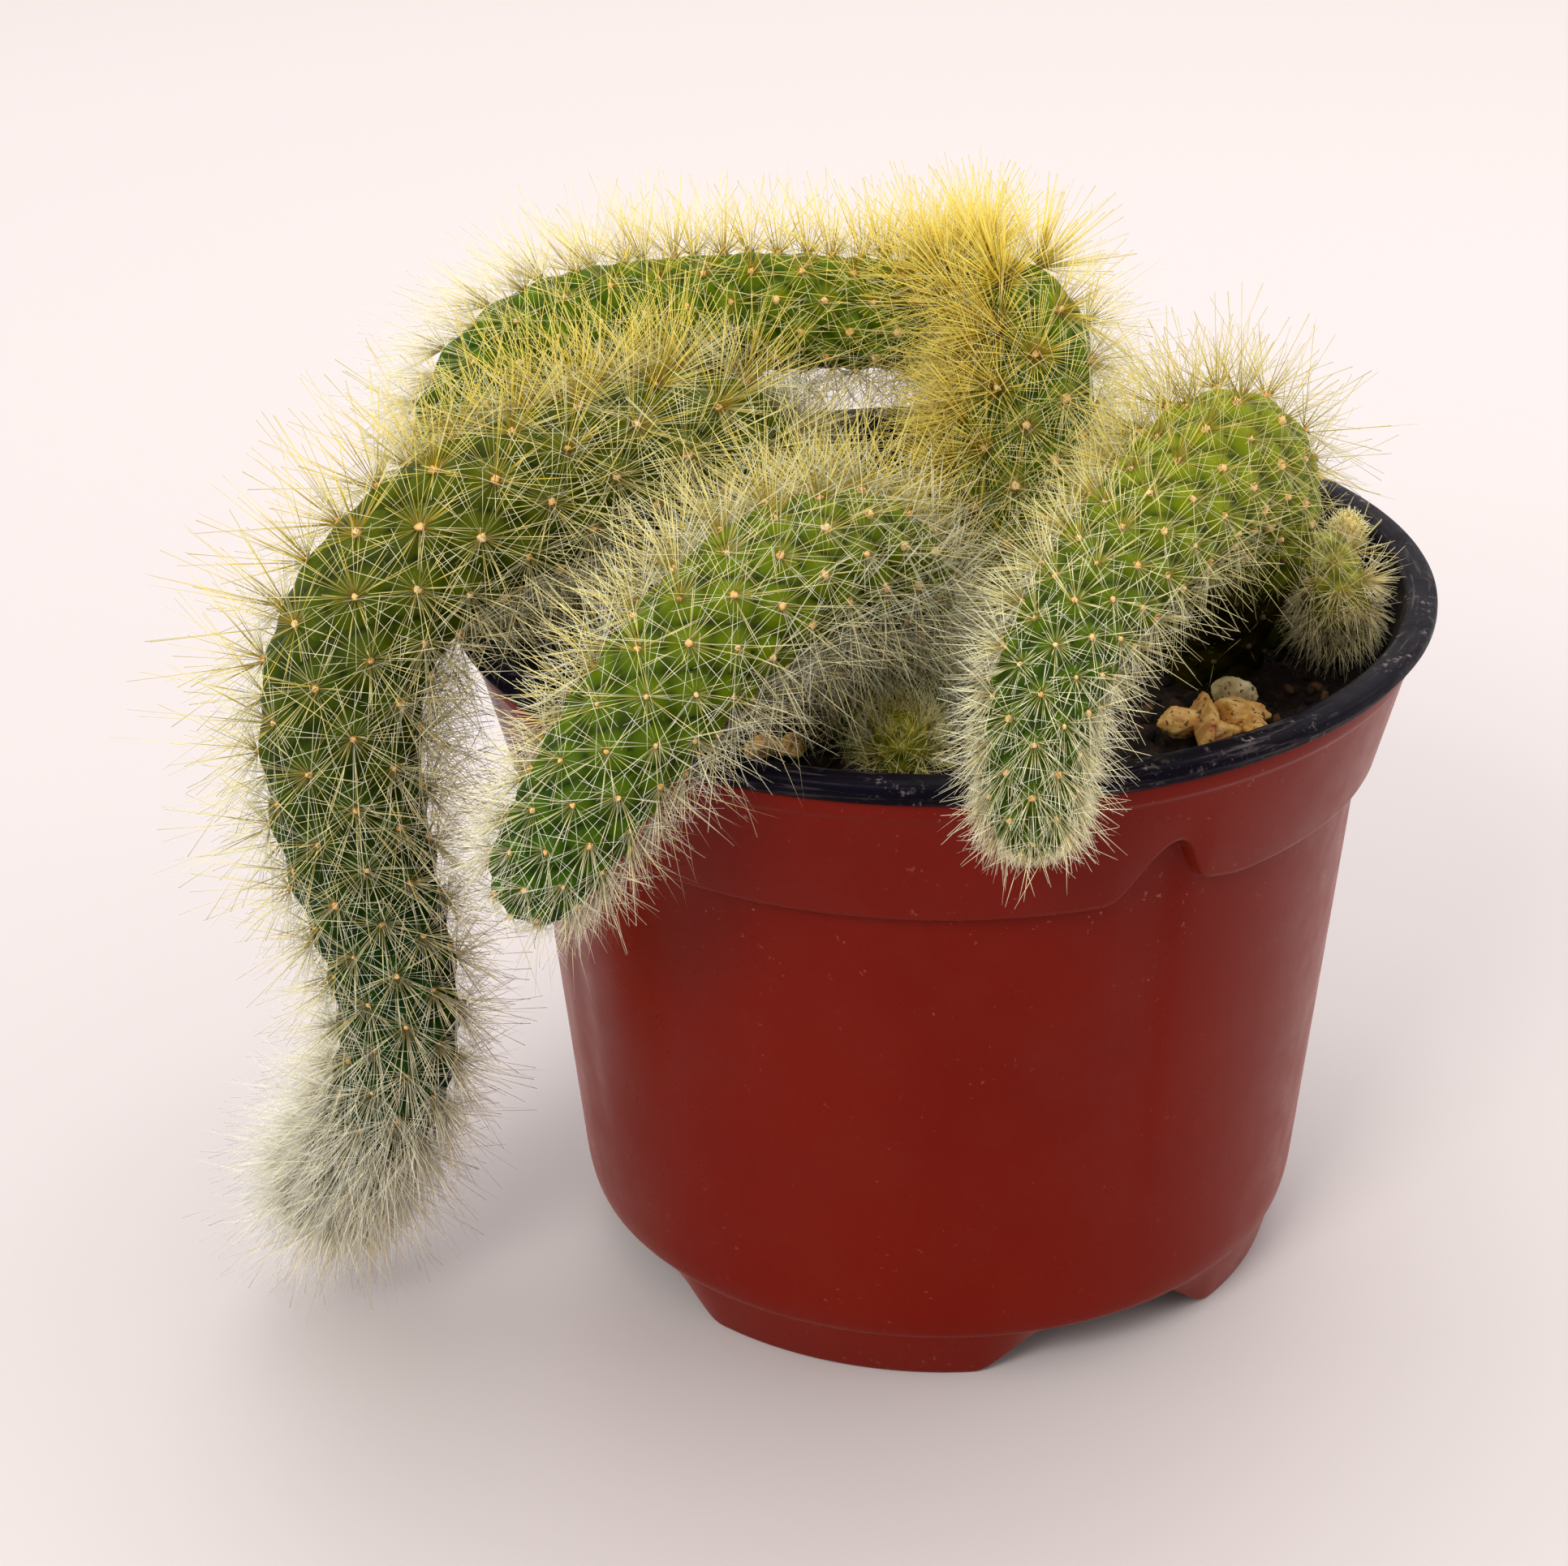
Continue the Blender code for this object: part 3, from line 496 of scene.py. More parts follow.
# %% The liner and its rim
# How far the liner's outer and inner face lie inside the pot's outer face.
LINER_OUT, LINER_IN = WALL + GAP, 2.0 * WALL + GAP
d, e = LINER_OUT, LINER_IN
liner_corners = [
    (42.9, BASE_Z + d, 0.2), (wall_r(BASE_Z + 2.7) - d, BASE_Z + 2.7, 0.6),
    (wall_r(edge + d) - d, edge + d, 0.3), (collar_r(edge + d) - d, edge + d, 0.3),
    (COLLAR_R1 - d, RIM_UNDER, 0.15), (RIM_R - 0.9, RIM_UNDER, 0.3),
    (RIM_R - 0.55, RIM_UNDER + 1.0, 0.25), (RIM_R, RIM_UNDER + 1.2, 0.3),
    (RIM_R, RIM_TOP - 0.3, 0.9), (RIM_R - 1.2, RIM_TOP, 0.8),
    (57.0, RIM_TOP - 0.1, 0.5), (56.1, RIM_TOP - 0.6, 0.9),
    (collar_r(edge + e) - e, edge + e, 0.6), (wall_r(edge + e) - e, edge + e, 0.6),
    (wall_r(BASE_Z + 3.6) - e, BASE_Z + 3.6, 0.8), (42.2, BASE_Z + e, 0.3)]
pot_liner = new_piece("pot_liner_shell", *turned_shell(liner_corners), black,
                      ("pot_liner_and_rim",), "black_plastic", angle=50.0)
ring_map(pot_liner, RIM_R)
liner_plate = base_plate("liner_base_plate", 42.6, BASE_Z + LINER_OUT, BASE_Z + LINER_IN, black,
                         "pot_liner_and_rim")
give_map(liner_plate, corner_places(liner_plate)[:, :2] * 1000.0)

# %% [markdown]
# ## Soil
# Potting mix is a heap of crumbs, bark and fibre. A bumped plane would look smooth
# at its outline, so the surface has real relief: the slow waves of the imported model
# and three finer layers of noise. Loose crumbs then lie on it, each an uneven
# twenty-sided grain with its own colour.

# %% Finish: potting mix
soil_mix = new_finish("potting_mix", Roughness=0.93, Specular_IOR_Level=0.15)
where = object_place(soil_mix)
fibre = noise(soil_mix, where, 420.0, 6.0, 0.7)
colour = ramp(soil_mix, fibre, (0.3, srgb(13, 9, 8)), (0.52, srgb(31, 22, 17)), (0.68, srgb(64, 44, 30)))
crumb_bump = bump(soil_mix, noise(soil_mix, where, 1500.0, 5.0, 0.7), 0.8, 0.0003)
to_shader(soil_mix, Base_Color=colour, Normal=crumb_bump)

# %% The soil's body
SOIL_Z, SOIL_FLOOR = 74.0, 10.4
# Middle and radius of each place where grit lies.
GRIT_BEDS = ((33.0, -16.0, 9.0), (-18.9, -23.5, 5.0))


def soil_top(x, y):
    """Height of the soil: slow waves, level under the grit, and finer crumbs on top."""
    wave = 0.5 * np.sin(0.31 * x + 1.3) * np.cos(0.27 * y) + 0.4 * np.sin(0.52 * y - 0.41 * x)
    for gx, gy, gr in GRIT_BEDS:
        wave = wave * np.clip((np.hypot(x - gx, y - gy) - gr) / 5.0, 0.0, 1.0)
    flat = np.stack([x, y, 0 * x], -1)
    fine = 0.45 * waves(flat, 7.0, 11) + 0.4 * abs(waves(flat, 3.2, 12)) + 0.25 * waves(flat, 1.5, 13)
    return SOIL_Z - 0.25 + wave + fine


columns = 288
turn = np.radians(np.arange(columns) * 360.0 / columns)
inner_wall = soften(np.where(edge + LINER_IN < SOIL_Z, collar_r(SOIL_Z), wall_r(SOIL_Z)), 4)
inner = np.interp(np.degrees(turn), az, inner_wall) - LINER_IN
share = np.linspace(1.0, 0.02, 64)[:, None]
r = inner * share + 0.3 * (share == 1.0)
x, y = r * np.sin(turn), -r * np.cos(turn)
top = np.stack([x, y, soil_top(x, y)], -1)
lower = []
for radius, z in ((wall_r(SOIL_FLOOR) - 3.4, SOIL_FLOOR),
                  (wall_r(SOIL_FLOOR + 3) - LINER_IN - 0.2, SOIL_FLOOR + 3),
                  (wall_r(66.0) - LINER_IN - 0.2, 66.0)):
    lower.append(np.stack([radius * np.sin(turn), -radius * np.cos(turn), np.full(columns, z)], -1))
soil_rows = np.concatenate([np.array(lower), top])
soil_points = np.concatenate([soil_rows.reshape(-1, 3), [[0, 0, SOIL_FLOOR], [0, 0, soil_top(0.0, 0.0)]]])
new_piece("soil_body", soil_points, closed_grid(len(soil_rows), columns), soil_mix, ("soil",),
          "dark_soil")


# %% Helper: scattered grains from one small template
def icosahedron():
    """Corners and faces of the twenty-sided solid of radius 1."""
    g = (1.0 + 5.0 ** 0.5) / 2.0
    p = [(-1, g, 0), (1, g, 0), (-1, -g, 0), (1, -g, 0), (0, -1, g), (0, 1, g),
         (0, -1, -g), (0, 1, -g), (g, 0, -1), (g, 0, 1), (-g, 0, -1), (-g, 0, 1)]
    f = [(0, 11, 5), (0, 5, 1), (0, 1, 7), (0, 7, 10), (0, 10, 11), (1, 5, 9), (5, 11, 4),
         (11, 10, 2), (10, 7, 6), (7, 1, 8), (3, 9, 4), (3, 4, 2), (3, 2, 6), (3, 6, 8),
         (3, 8, 9), (4, 9, 5), (2, 4, 11), (6, 2, 10), (8, 6, 7), (9, 8, 1)]
    return unit(np.array(p, float)), np.array(f)


def turns_of(rng, count):
    """Random rotation matrices, from three unit vectors at right angles."""
    a = unit(rng.normal(size=(count, 3)))
    b = unit(np.cross(a, rng.normal(size=(count, 3))))
    return np.stack([a, b, np.cross(a, b)], 1)


def grains(centres, sizes, rng, flat=0.6):
    """Uneven grains: jittered, stretched and turned copies of the icosahedron."""
    corner, face = icosahedron()
    shape = corner[None] * rng.uniform(0.72, 1.18, (len(centres), 12, 1))
    shape = shape * np.stack([np.ones(len(centres)), rng.uniform(0.55, 0.95, len(centres)),
                              rng.uniform(flat * 0.7, flat * 1.3, len(centres))], -1)[:, None]
    shape = np.einsum("nij,njk->nik", shape, turns_of(rng, len(centres)))
    points = centres[:, None] + shape * sizes[:, None, None]
    return points.reshape(-1, 3), copies(face, len(centres), 12)


# %% Finish: loose crumbs, coloured grain by grain
crumb = new_finish("loose_crumbs", Roughness=0.9, Specular_IOR_Level=0.2)
where = object_place(crumb)
tint = mesh_tint(crumb)
shade = grey_noise(crumb, where, 2400.0, (0.3, 0.55), (0.7, 1.0), 3.0)
to_shader(crumb, Base_Color=product(crumb, tint, shade))

# %% Crumbs on the soil
rng = np.random.default_rng(31)
count = 1700
turn = rng.uniform(0, 2 * math.pi, count)
r = 50.0 * np.sqrt(rng.uniform(0, 1, count))
x, y = r * np.sin(turn), -r * np.cos(turn)
size = 0.35 + 1.1 * rng.uniform(0, 1, count) ** 3
centres = np.stack([x, y, soil_top(x, y) + 0.25 * size], -1)
points, faces = grains(centres, size, rng)
dark, brown, bark, tan = srgb(18, 12, 10), srgb(47, 33, 23), srgb(90, 61, 36), srgb(150, 114, 68)
kind = rng.uniform(0, 1, count)
tints = np.where(kind[:, None] < 0.5, dark, np.where(kind[:, None] < 0.82, brown,
                 np.where(kind[:, None] < 0.97, bark, tan)))
new_piece("soil_crumbs", points, [faces], crumb, (), "dark_soil", tints=np.repeat(tints, 12, 0))

# %% [markdown]
# ## Grit
# Tan clay grit is porous, broken stuff: blunt chips with flat faces and worn edges.
# Each chip is a ball that random planes cut down. In each direction its radius is
# the nearest plane's, taken softly so that the edges are worn, and noise at three
# scales makes it rough. The pale pebble has many more planes, all nearly as far
# out, so it comes out round.

# %% Finish: clay grit and the pale pebble
def grit_finish(name, deep, mid, light, stain):
    """Rough stone with a mottled colour, dark pores and a rusty stain."""
    mat = new_finish(name, Roughness=0.8)
    at = object_place(mat)
    colour = ramp(mat, noise(mat, at, 380.0, 5.0, 0.6), (0.3, deep), (0.5, mid), (0.72, light))
    patch = grey_noise(mat, at, 140.0, (0.52, 0.0), (0.68, 0.8), 3.0)
    colour = blend_colours(mat, patch, colour, stain)
    pores = grey_noise(mat, at, 1300.0, (0.33, 1.0), (0.4, 0.0), 2.0)
    colour = blend_colours(mat, pores, colour, srgb(92, 60, 34))
    to_shader(mat, Base_Color=colour, Normal=bump(mat, noise(mat, at, 900.0, 5.0, 0.65), 0.6, 0.0003))
    return mat


tan_grit = grit_finish("tan_clay_grit", srgb(176, 120, 50), srgb(214, 166, 86), srgb(238, 208, 140),
                       srgb(168, 74, 30))
pale_grit = grit_finish("pale_pebble", srgb(158, 138, 92), srgb(196, 176, 126), srgb(226, 210, 166),
                        srgb(150, 112, 72))


# %% Stones
# Circles of latitude with both poles, and points on a circle.
STONE_GRID = (30, 44)


def round_ball(rows, columns):
    """Points and faces of a ball of radius 1: circles of latitude, then its two poles."""
    lat = np.radians(np.linspace(-90, 90, rows))[1:-1, None]
    lon = np.radians(np.arange(columns) * 360.0 / columns)
    ball = np.stack([np.cos(lat) * np.cos(lon), np.cos(lat) * np.sin(lon), np.sin(lat) + 0 * lon], -1)
    return np.concatenate([ball.reshape(-1, 3), [[0, 0, -1], [0, 0, 1]]]), closed_grid(rows - 2, columns)


def stone(centre, size, turn, squash, seed, cuts, near):
    """Chip of clay whose lowest point is about at centre's height.

    In each direction its radius is the least of d / (direction . normal) over the
    cutting planes, and d is at least near. The least is a soft one, the sum of the
    14th powers of the inverses.
    """
    rng = np.random.default_rng(seed)
    ball, faces = round_ball(*STONE_GRID)
    planes = unit(rng.normal(size=(cuts, 3)))
    cut = rng.uniform(near, 1.0, cuts) / np.maximum(ball @ planes.T, 0.08)
    radius = (cut ** -14.0).sum(1) ** (-1.0 / 14.0)
    rough = 0.05 * waves(ball, 0.6, seed + 1) + 0.03 * waves(ball, 0.22, seed + 2)
    rough = rough + 0.015 * waves(ball, 0.1, seed + 3)
    p = ball * (radius * (1.0 + rough))[:, None] * (1.15 * size, 0.72 * size, 0.82 * size * squash)
    c, s = math.cos(math.radians(turn)), math.sin(math.radians(turn))
    p = np.stack([c * p[:, 0] - s * p[:, 1], s * p[:, 0] + c * p[:, 1], p[:, 2]], -1)
    p += (centre[0], centre[1], centre[2] - np.quantile(p[:, 2], 0.06))
    return p, faces


def stones(name, spots, finish, node, slot, seed, cuts=15, near=0.66):
    """Several stones in one piece."""
    points, quads, fans, start = [], [], [], 0
    for k, (x, y, size, turn, squash) in enumerate(spots):
        p, (quad, *fan) = stone((x, y, SOIL_Z + GAP - 0.2), size, turn, squash, seed + 7 * k, cuts, near)
        points.append(p)
        quads.append(quad + start)
        fans += [a + start for a in fan]
        start += len(p)
    return new_piece(name, np.concatenate(points), quads + fans, finish, (node,), slot)


GRIT_RIGHT = ((28.4, -18.0, 2.9, 20, 0.8), (31.8, -15.8, 2.8, 80, 0.9), (35.6, -14.4, 3.1, 10, 0.75),
              (32.4, -19.4, 2.6, 50, 0.7), (37.4, -17.0, 2.4, 120, 0.7))
GRIT_LEFT = ((-20.6, -24.0, 2.4, 15, 0.8), (-17.6, -22.8, 2.2, 70, 0.8))
stones("grit_right_stones", GRIT_RIGHT, tan_grit, "grit_right", "tan_grit", 100)
stones("grit_left_stones", GRIT_LEFT, tan_grit, "grit_left", "tan_grit", 200)
stones("pale_pebble_stone", ((35.6, -8.8, 2.7, 160, 1.0),), pale_grit, "pebble_pale", "pale_grit", 300,
       cuts=60, near=0.9)

# %% [markdown]
# ## Stems
# A stem's skin is a net of low tubercles, set like bricks in twelve ribs. Each one
# carries an areole, the woolly cushion from which the spines rise. The net could be
# sculpted, but as a formula it stays even on every bend: the middle line is a smooth
# curve, and the skin's height depends on how far a point is from the nearest
# areole, counted in ribs and rings.

# %% The stems' middle lines
STEMS = {
    "hanging_left": dict(
        ribs=12, pitch=8.7, closer=0.55,
        line=((-22.6, 7.0, 52.0, 7.0), (-22.6, 7.0, 75.0, 7.0), (-22.8, 6.6, 86.0, 8.0),
              (-23.6, 5.2, 96.4, 8.6), (-27.4, 1.2, 103.6, 9.0), (-34.0, -4.2, 105.2, 9.2),
              (-43.0, -9.8, 104.2, 9.3), (-52.5, -16.0, 102.2, 9.4), (-60.4, -21.0, 98.6, 9.4),
              (-66.6, -25.0, 92.4, 9.4), (-69.7, -27.2, 84.0, 9.4), (-70.2, -28.0, 74.0, 9.3),
              (-69.2, -28.0, 64.0, 8.9), (-67.2, -28.0, 54.0, 8.0), (-65.8, -28.0, 44.0, 7.4),
              (-66.4, -28.0, 34.6, 7.2), (-69.6, -28.0, 26.2, 6.8), (-74.0, -28.0, 18.6, 6.2),
              (-79.2, -28.0, 11.4, 5.4))),
    "arching_back": dict(
        ribs=12, pitch=6.8, closer=0.7,
        line=((7.2, 0.6, 52.0, 7.2), (7.2, 0.6, 75.0, 7.2), (7.4, 1.4, 85.0, 7.9),
              (8.2, 3.2, 95.0, 8.1), (9.6, 5.4, 104.0, 8.0), (11.0, 8.0, 111.0, 7.6),
              (9.6, 11.6, 115.8, 7.2), (4.4, 15.0, 116.2, 6.9), (-2.0, 17.4, 115.2, 6.7),
              (-10.2, 19.2, 114.8, 6.8), (-20.3, 20.0, 114.8, 7.2), (-28.4, 19.2, 114.4, 7.6),
              (-36.3, 17.0, 114.0, 8.0), (-44.2, 14.0, 113.4, 8.3), (-50.6, 10.5, 111.8, 8.1),
              (-55.4, 7.0, 108.2, 7.7), (-58.0, 4.4, 102.6, 7.1), (-59.2, 3.0, 96.0, 6.2))),
    "middle_front": dict(
        ribs=12, pitch=6.8, closer=0.62,
        line=((-6.0, -17.2, 52.0, 6.8), (-6.0, -17.2, 75.0, 6.8), (-5.8, -18.0, 85.6, 7.4),
              (-6.2, -21.0, 94.6, 7.6), (-8.6, -27.6, 100.6, 7.8), (-13.0, -35.4, 103.8, 7.9),
              (-18.6, -43.4, 104.4, 8.0), (-24.4, -51.4, 102.4, 7.8), (-30.6, -58.6, 97.4, 7.3),
              (-35.7, -62.6, 91.2, 6.9), (-40.0, -64.0, 84.0, 6.4), (-45.2, -63.6, 74.8, 5.5))),
    "right_front": dict(
        ribs=12, pitch=6.8, closer=0.55,
        line=((33.0, 4.0, 52.0, 6.8), (33.0, 4.0, 75.0, 6.8), (34.8, 1.4, 86.0, 7.6),
              (36.8, -4.4, 96.6, 8.2), (35.2, -12.6, 106.0, 8.4), (31.0, -21.5, 110.4, 8.2),
              (25.0, -33.0, 109.2, 7.6), (18.2, -45.0, 106.4, 6.7), (13.0, -55.0, 102.6, 6.0),
              (10.4, -62.0, 98.0, 5.5), (9.6, -66.6, 92.0, 4.9), (10.0, -68.8, 84.6, 3.9))),
    "short_rear": dict(
        ribs=12, pitch=6.0,
        line=((-22.4, 23.6, 56.0, 5.2), (-22.4, 23.6, 75.0, 5.2), (-22.6, 24.4, 84.0, 6.0),
              (-23.0, 26.2, 93.0, 5.9), (-23.4, 28.0, 101.6, 5.2))),
    "shoot_right": dict(
        ribs=8, pitch=4.4,
        line=((41.4, 13.0, 66.0, 3.4), (41.4, 13.0, 75.4, 3.4), (43.8, 13.0, 81.6, 4.2),
              (46.6, 9.0, 85.8, 4.4), (48.2, 3.4, 85.8, 4.2), (48.8, -3.4, 82.8, 3.6))),
    "shoot_front": dict(
        ribs=8, pitch=3.4,
        line=((-4.4, -30.6, 66.0, 2.8), (-4.4, -30.6, 75.2, 2.8), (-4.4, -31.4, 78.4, 3.4),
              (-4.4, -33.2, 83.6, 3.0))),
}


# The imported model's name for each of them.
NODES = {name: name if name.startswith("shoot") else "stem_" + name for name in STEMS}


# Points between two typed points, rounds of averaging, and points in a millimetre.
SPAN_POINTS, ROUNDS, PER_MM = 24, 140, 4


def middle_line(line):
    """Smooth line with PER_MM points in every millimetre.

    A Catmull-Rom curve goes through the typed points and is then averaged many
    times. Returned are length, point, radius, tangent, two cross directions that
    don't twist, and the bend, which points to the inside of a curve.
    """
    line = np.array(line, float)
    ends = np.vstack([2 * line[0] - line[1], line, 2 * line[-1] - line[-2]])
    t = np.linspace(0.0, 1.0, SPAN_POINTS, endpoint=False)[:, None]
    dense = []
    for k in range(len(line) - 1):
        a, b, c, f = ends[k:k + 4]
        dense.append(0.5 * (2 * b + (c - a) * t + (2 * a - 5 * b + 4 * c - f) * t ** 2
                            + (3 * b - a - 3 * c + f) * t ** 3))
    dense = np.vstack(dense + [line[-1:]])
    for _ in range(ROUNDS):
        dense[1:-1] = 0.25 * dense[:-2] + 0.5 * dense[1:-1] + 0.25 * dense[2:]
    s = np.concatenate([[0.0], np.cumsum(np.linalg.norm(np.diff(dense[:, :3], axis=0), axis=1))])
    even = np.linspace(0.0, s[-1], int(s[-1] * PER_MM) + 1)
    full = np.stack([np.interp(even, s, dense[:, c]) for c in range(4)], 1)
    tangent = unit(np.gradient(full[:, :3], axis=0))
    u = np.zeros_like(tangent)
    u[0] = unit(np.cross(tangent[0], (0.0, 1.0, 0.0)))
    for k in range(1, len(u)):
        u[k] = unit(u[k - 1] - tangent[k] * np.dot(u[k - 1], tangent[k]))
    curve = np.gradient(tangent, axis=0) * PER_MM
    average = np.ones(17) / 17.0
    bend = np.stack([np.convolve(curve[:, c], average, "same") for c in range(3)], 1)
    return dict(s=even, p=full[:, :3], r=full[:, 3], t=tangent, u=u, v=np.cross(tangent, u), bend=bend)


LINES = {name: middle_line(spec["line"]) for name, spec in STEMS.items()}
for name, line in LINES.items():
    print("%-14s %5.0f mm long" % (name, line["s"][-1]))


# %% [markdown]
# ### The skin's formula
# A place on the skin has a ring number along the stem and a rib number round it.
# Areoles sit where both numbers are whole and their sum is even. With
# a = (ring + rib) / 2 and b = (ring - rib) / 2, they are where a and b are both
# whole, so |cos(pi a) cos(pi b)| is 1 on each areole and 0 along the diamond of
# grooves between them. A power under 1 makes the tops rounder and the grooves
# sharper. The last rings close over the tip as a dome.


# %% The skin as a function of ring and rib
# How many degrees the skin leans at the dome and its three rings.
DOME_LEAN = (0.0, 28.0, 54.0, 90.0)
# Height of a tubercle as a share of the pitch, which part of it lies under the stem's
# radius, and the power that rounds its top.
HILL_HEIGHT, HILL_SUNK, HILL_POWER = 0.1, 0.55, 0.72


def ring_plan(name):
    """Number of rings below the dome, and how far along the line each ring lies.

    Rings stand half a pitch apart and draw together towards the tip.
    """
    line = LINES[name]
    first = line["s"][np.argmax(line["p"][:, 2] >= SOIL_Z + 1.6)]
    dome = line["s"][-1] - line["r"][-1] * 1.15
    s = np.linspace(first, dome, 800)
    closer = np.interp(s / line["s"][-1], (0.0, 0.62, 1.0), (1.0, 1.0, STEMS[name].get("closer", 1.0)))
    rings = np.concatenate([[0.0], np.cumsum((s[1] - s[0]) / (0.5 * STEMS[name]["pitch"] * closer[1:]))])
    count = max(2, int(round(rings[-1])))
    return count, np.interp(np.arange(count + 1) * rings[-1] / count, rings, s)


def skin_at(name, ring, rib):
    """The skin at ring and rib numbers, which may be fractions.

    Returned are point, outward normal, direction to the tip, the tubercle's share of
    its height, share of the stem's length, and how tightly the skin is squeezed on
    the inside of a bend.
    """
    line, ribs, pitch = LINES[name], STEMS[name]["ribs"], STEMS[name]["pitch"]
    count, ring_s = ring_plan(name)
    tip, dome = line["s"][-1], ring_s[-1]
    lean = np.radians(np.interp(ring, count + np.arange(4), DOME_LEAN))
    below = np.interp(ring, np.arange(count + 1), ring_s) + np.minimum(ring, 0.0) * 0.5 * pitch
    s = np.where(ring <= count, below, dome + (tip - dome) * np.sin(lean))
    k = np.clip(np.round(s * PER_MM).astype(int), 0, len(line["s"]) - 1)
    turn = 2.0 * math.pi * rib / ribs
    out = np.cos(turn)[..., None] * line["u"][k] + np.sin(turn)[..., None] * line["v"][k]
    radius = line["r"][k] * np.cos(lean)
    inward = np.maximum((out * line["bend"][k]).sum(-1), 1e-6)
    reach = np.minimum(radius, 0.7 / inward)
    ease = np.clip(1.0 - inward * radius, 0.0, 1.0) * np.clip(ring + 0.6, 0.0, 1.0) * np.cos(lean) ** 0.5
    a, b = 0.5 * (ring + rib), 0.5 * (ring - rib)
    hill = (abs(np.cos(math.pi * a) * np.cos(math.pi * b)) + 1e-9) ** HILL_POWER
    height = HILL_HEIGHT * pitch * (hill - HILL_SUNK) * ease
    n = np.cos(lean)[..., None] * out + np.sin(lean)[..., None] * line["t"][k]
    w = np.cos(lean)[..., None] * line["t"][k] - np.sin(lean)[..., None] * out
    point = line["p"][k] + out * reach[..., None] + n * height[..., None]
    return point, n, w, hill, s / tip, inward * radius


def stem_skin(name, finish, slot):
    """Closed skin: a grid of rings and ribs, a flat end in the soil and a point at the tip."""
    ribs = STEMS[name]["ribs"]
    count = ring_plan(name)[0]
    columns = ribs * 6
    rows = np.concatenate([[-4.0, -2.0, -1.0], np.arange(-0.5, count, 0.25),
                           np.linspace(count, count + 2.9, 15)])
    ring, rib = np.meshgrid(rows, np.arange(columns) * ribs / columns, indexing="ij")
    point, _, _, hill, along, _ = skin_at(name, ring, rib)
    ends = np.stack([point[0].mean(0), LINES[name]["p"][-1]])
    faces = closed_grid(len(rows), columns)
    groove = np.concatenate([hill.ravel(), [0.5, 0.6]])
    length = np.concatenate([along.ravel(), [0.0, 1.0]])
    tints = np.stack([groove, length, 0 * groove], -1)
    points = np.concatenate([point.reshape(-1, 3), ends])
    return new_piece(name + "_skin", points, faces, finish, (NODES[name],), slot, tints=tints)


# %% [markdown]
# ### Waxy green skin
# The skin is painted lighter on the tubercles and darker in the grooves: painted
# light and shade over the low relief. It has pale flecks.
# The foot of a stem turns brown and corky with age. On the right stem this dark foot
# reaches far up the trunk: old cork, and painted shade where that trunk lies in shadow.
# Light enters the skin a little, so it has some subsurface scattering. The attribute made with the mesh
# says where
# the grooves are (red) and how far along the stem a point lies (green), and ramps
# turn both into colour.


# %% Finish: stem skins
def skin_finish(name, groove, flank, top, end_groove, end_top, turn_at, cork_and_shade_span=(0.04, 0.2)):
    """Waxy skin on a base of cork. Colours are screen values from 0 to 255.

    The end colours take over beyond turn_at of the length. The cork fades out between
    the two shares of the length in cork_and_shade_span. A long span adds painted shade
    on a trunk that lies in shadow.
    """
    mat = new_finish(name, Roughness=0.45, Specular_IOR_Level=0.05, Subsurface_Weight=0.1,
                     Subsurface_Scale=0.0015, Subsurface_Radius=(0.6, 1.0, 0.3))
    at = object_place(mat)
    tint = mesh_tint(mat)
    parts = add(mat, "SeparateColor", {"Color": tint})
    ridge, length = parts.outputs["Red"], parts.outputs["Green"]
    # Painted shade in the grooves and painted light on the tubercle tops.
    body = ramp(mat, ridge, (0.02, srgb(*groove)), (0.35, srgb(*flank)), (0.95, srgb(*top)))
    end = ramp(mat, ridge, (0.02, srgb(*end_groove)), (0.9, srgb(*end_top)))
    near_tip = grey_ramp(mat, length, (turn_at - 0.12, 0.0), (turn_at + 0.12, 1.0))
    colour = blend_colours(mat, near_tip, body, end)
    # Brown cork at the foot. On the right stem it is also painted shade over the trunk in shadow.
    cork_and_shade = ramp(mat, length, (cork_and_shade_span[0], srgb(101, 75, 55)), (cork_and_shade_span[1], grey(1.0)))
    colour = product(mat, colour, cork_and_shade)
    colour = product(mat, colour, grey_noise(mat, at, 260.0, (0.3, 0.78), (0.7, 1.12)))
    flecks = grey_noise(mat, at, 1700.0, (0.62, 0.0), (0.72, 0.3), 2.0)
    colour = blend_colours(mat, flecks, colour, srgb(97, 117, 30))
    rough = grey_noise(mat, at, 500.0, (0.3, 0.44), (0.7, 0.6), 3.0)
    pores = bump(mat, noise(mat, at, 2500.0, 3.0), 0.25, 0.00012)
    to_shader(mat, Base_Color=colour, Roughness=rough, Normal=pores)
    return mat


# Each skin's first colours run from painted shade in the grooves to painted light on the tubercle tops.
bright_skin = skin_finish("bright_stem_skin", (28, 36, 0), (70, 86, 0), (95, 110, 3), (18, 40, 1),
                          (52, 83, 4), 0.8)
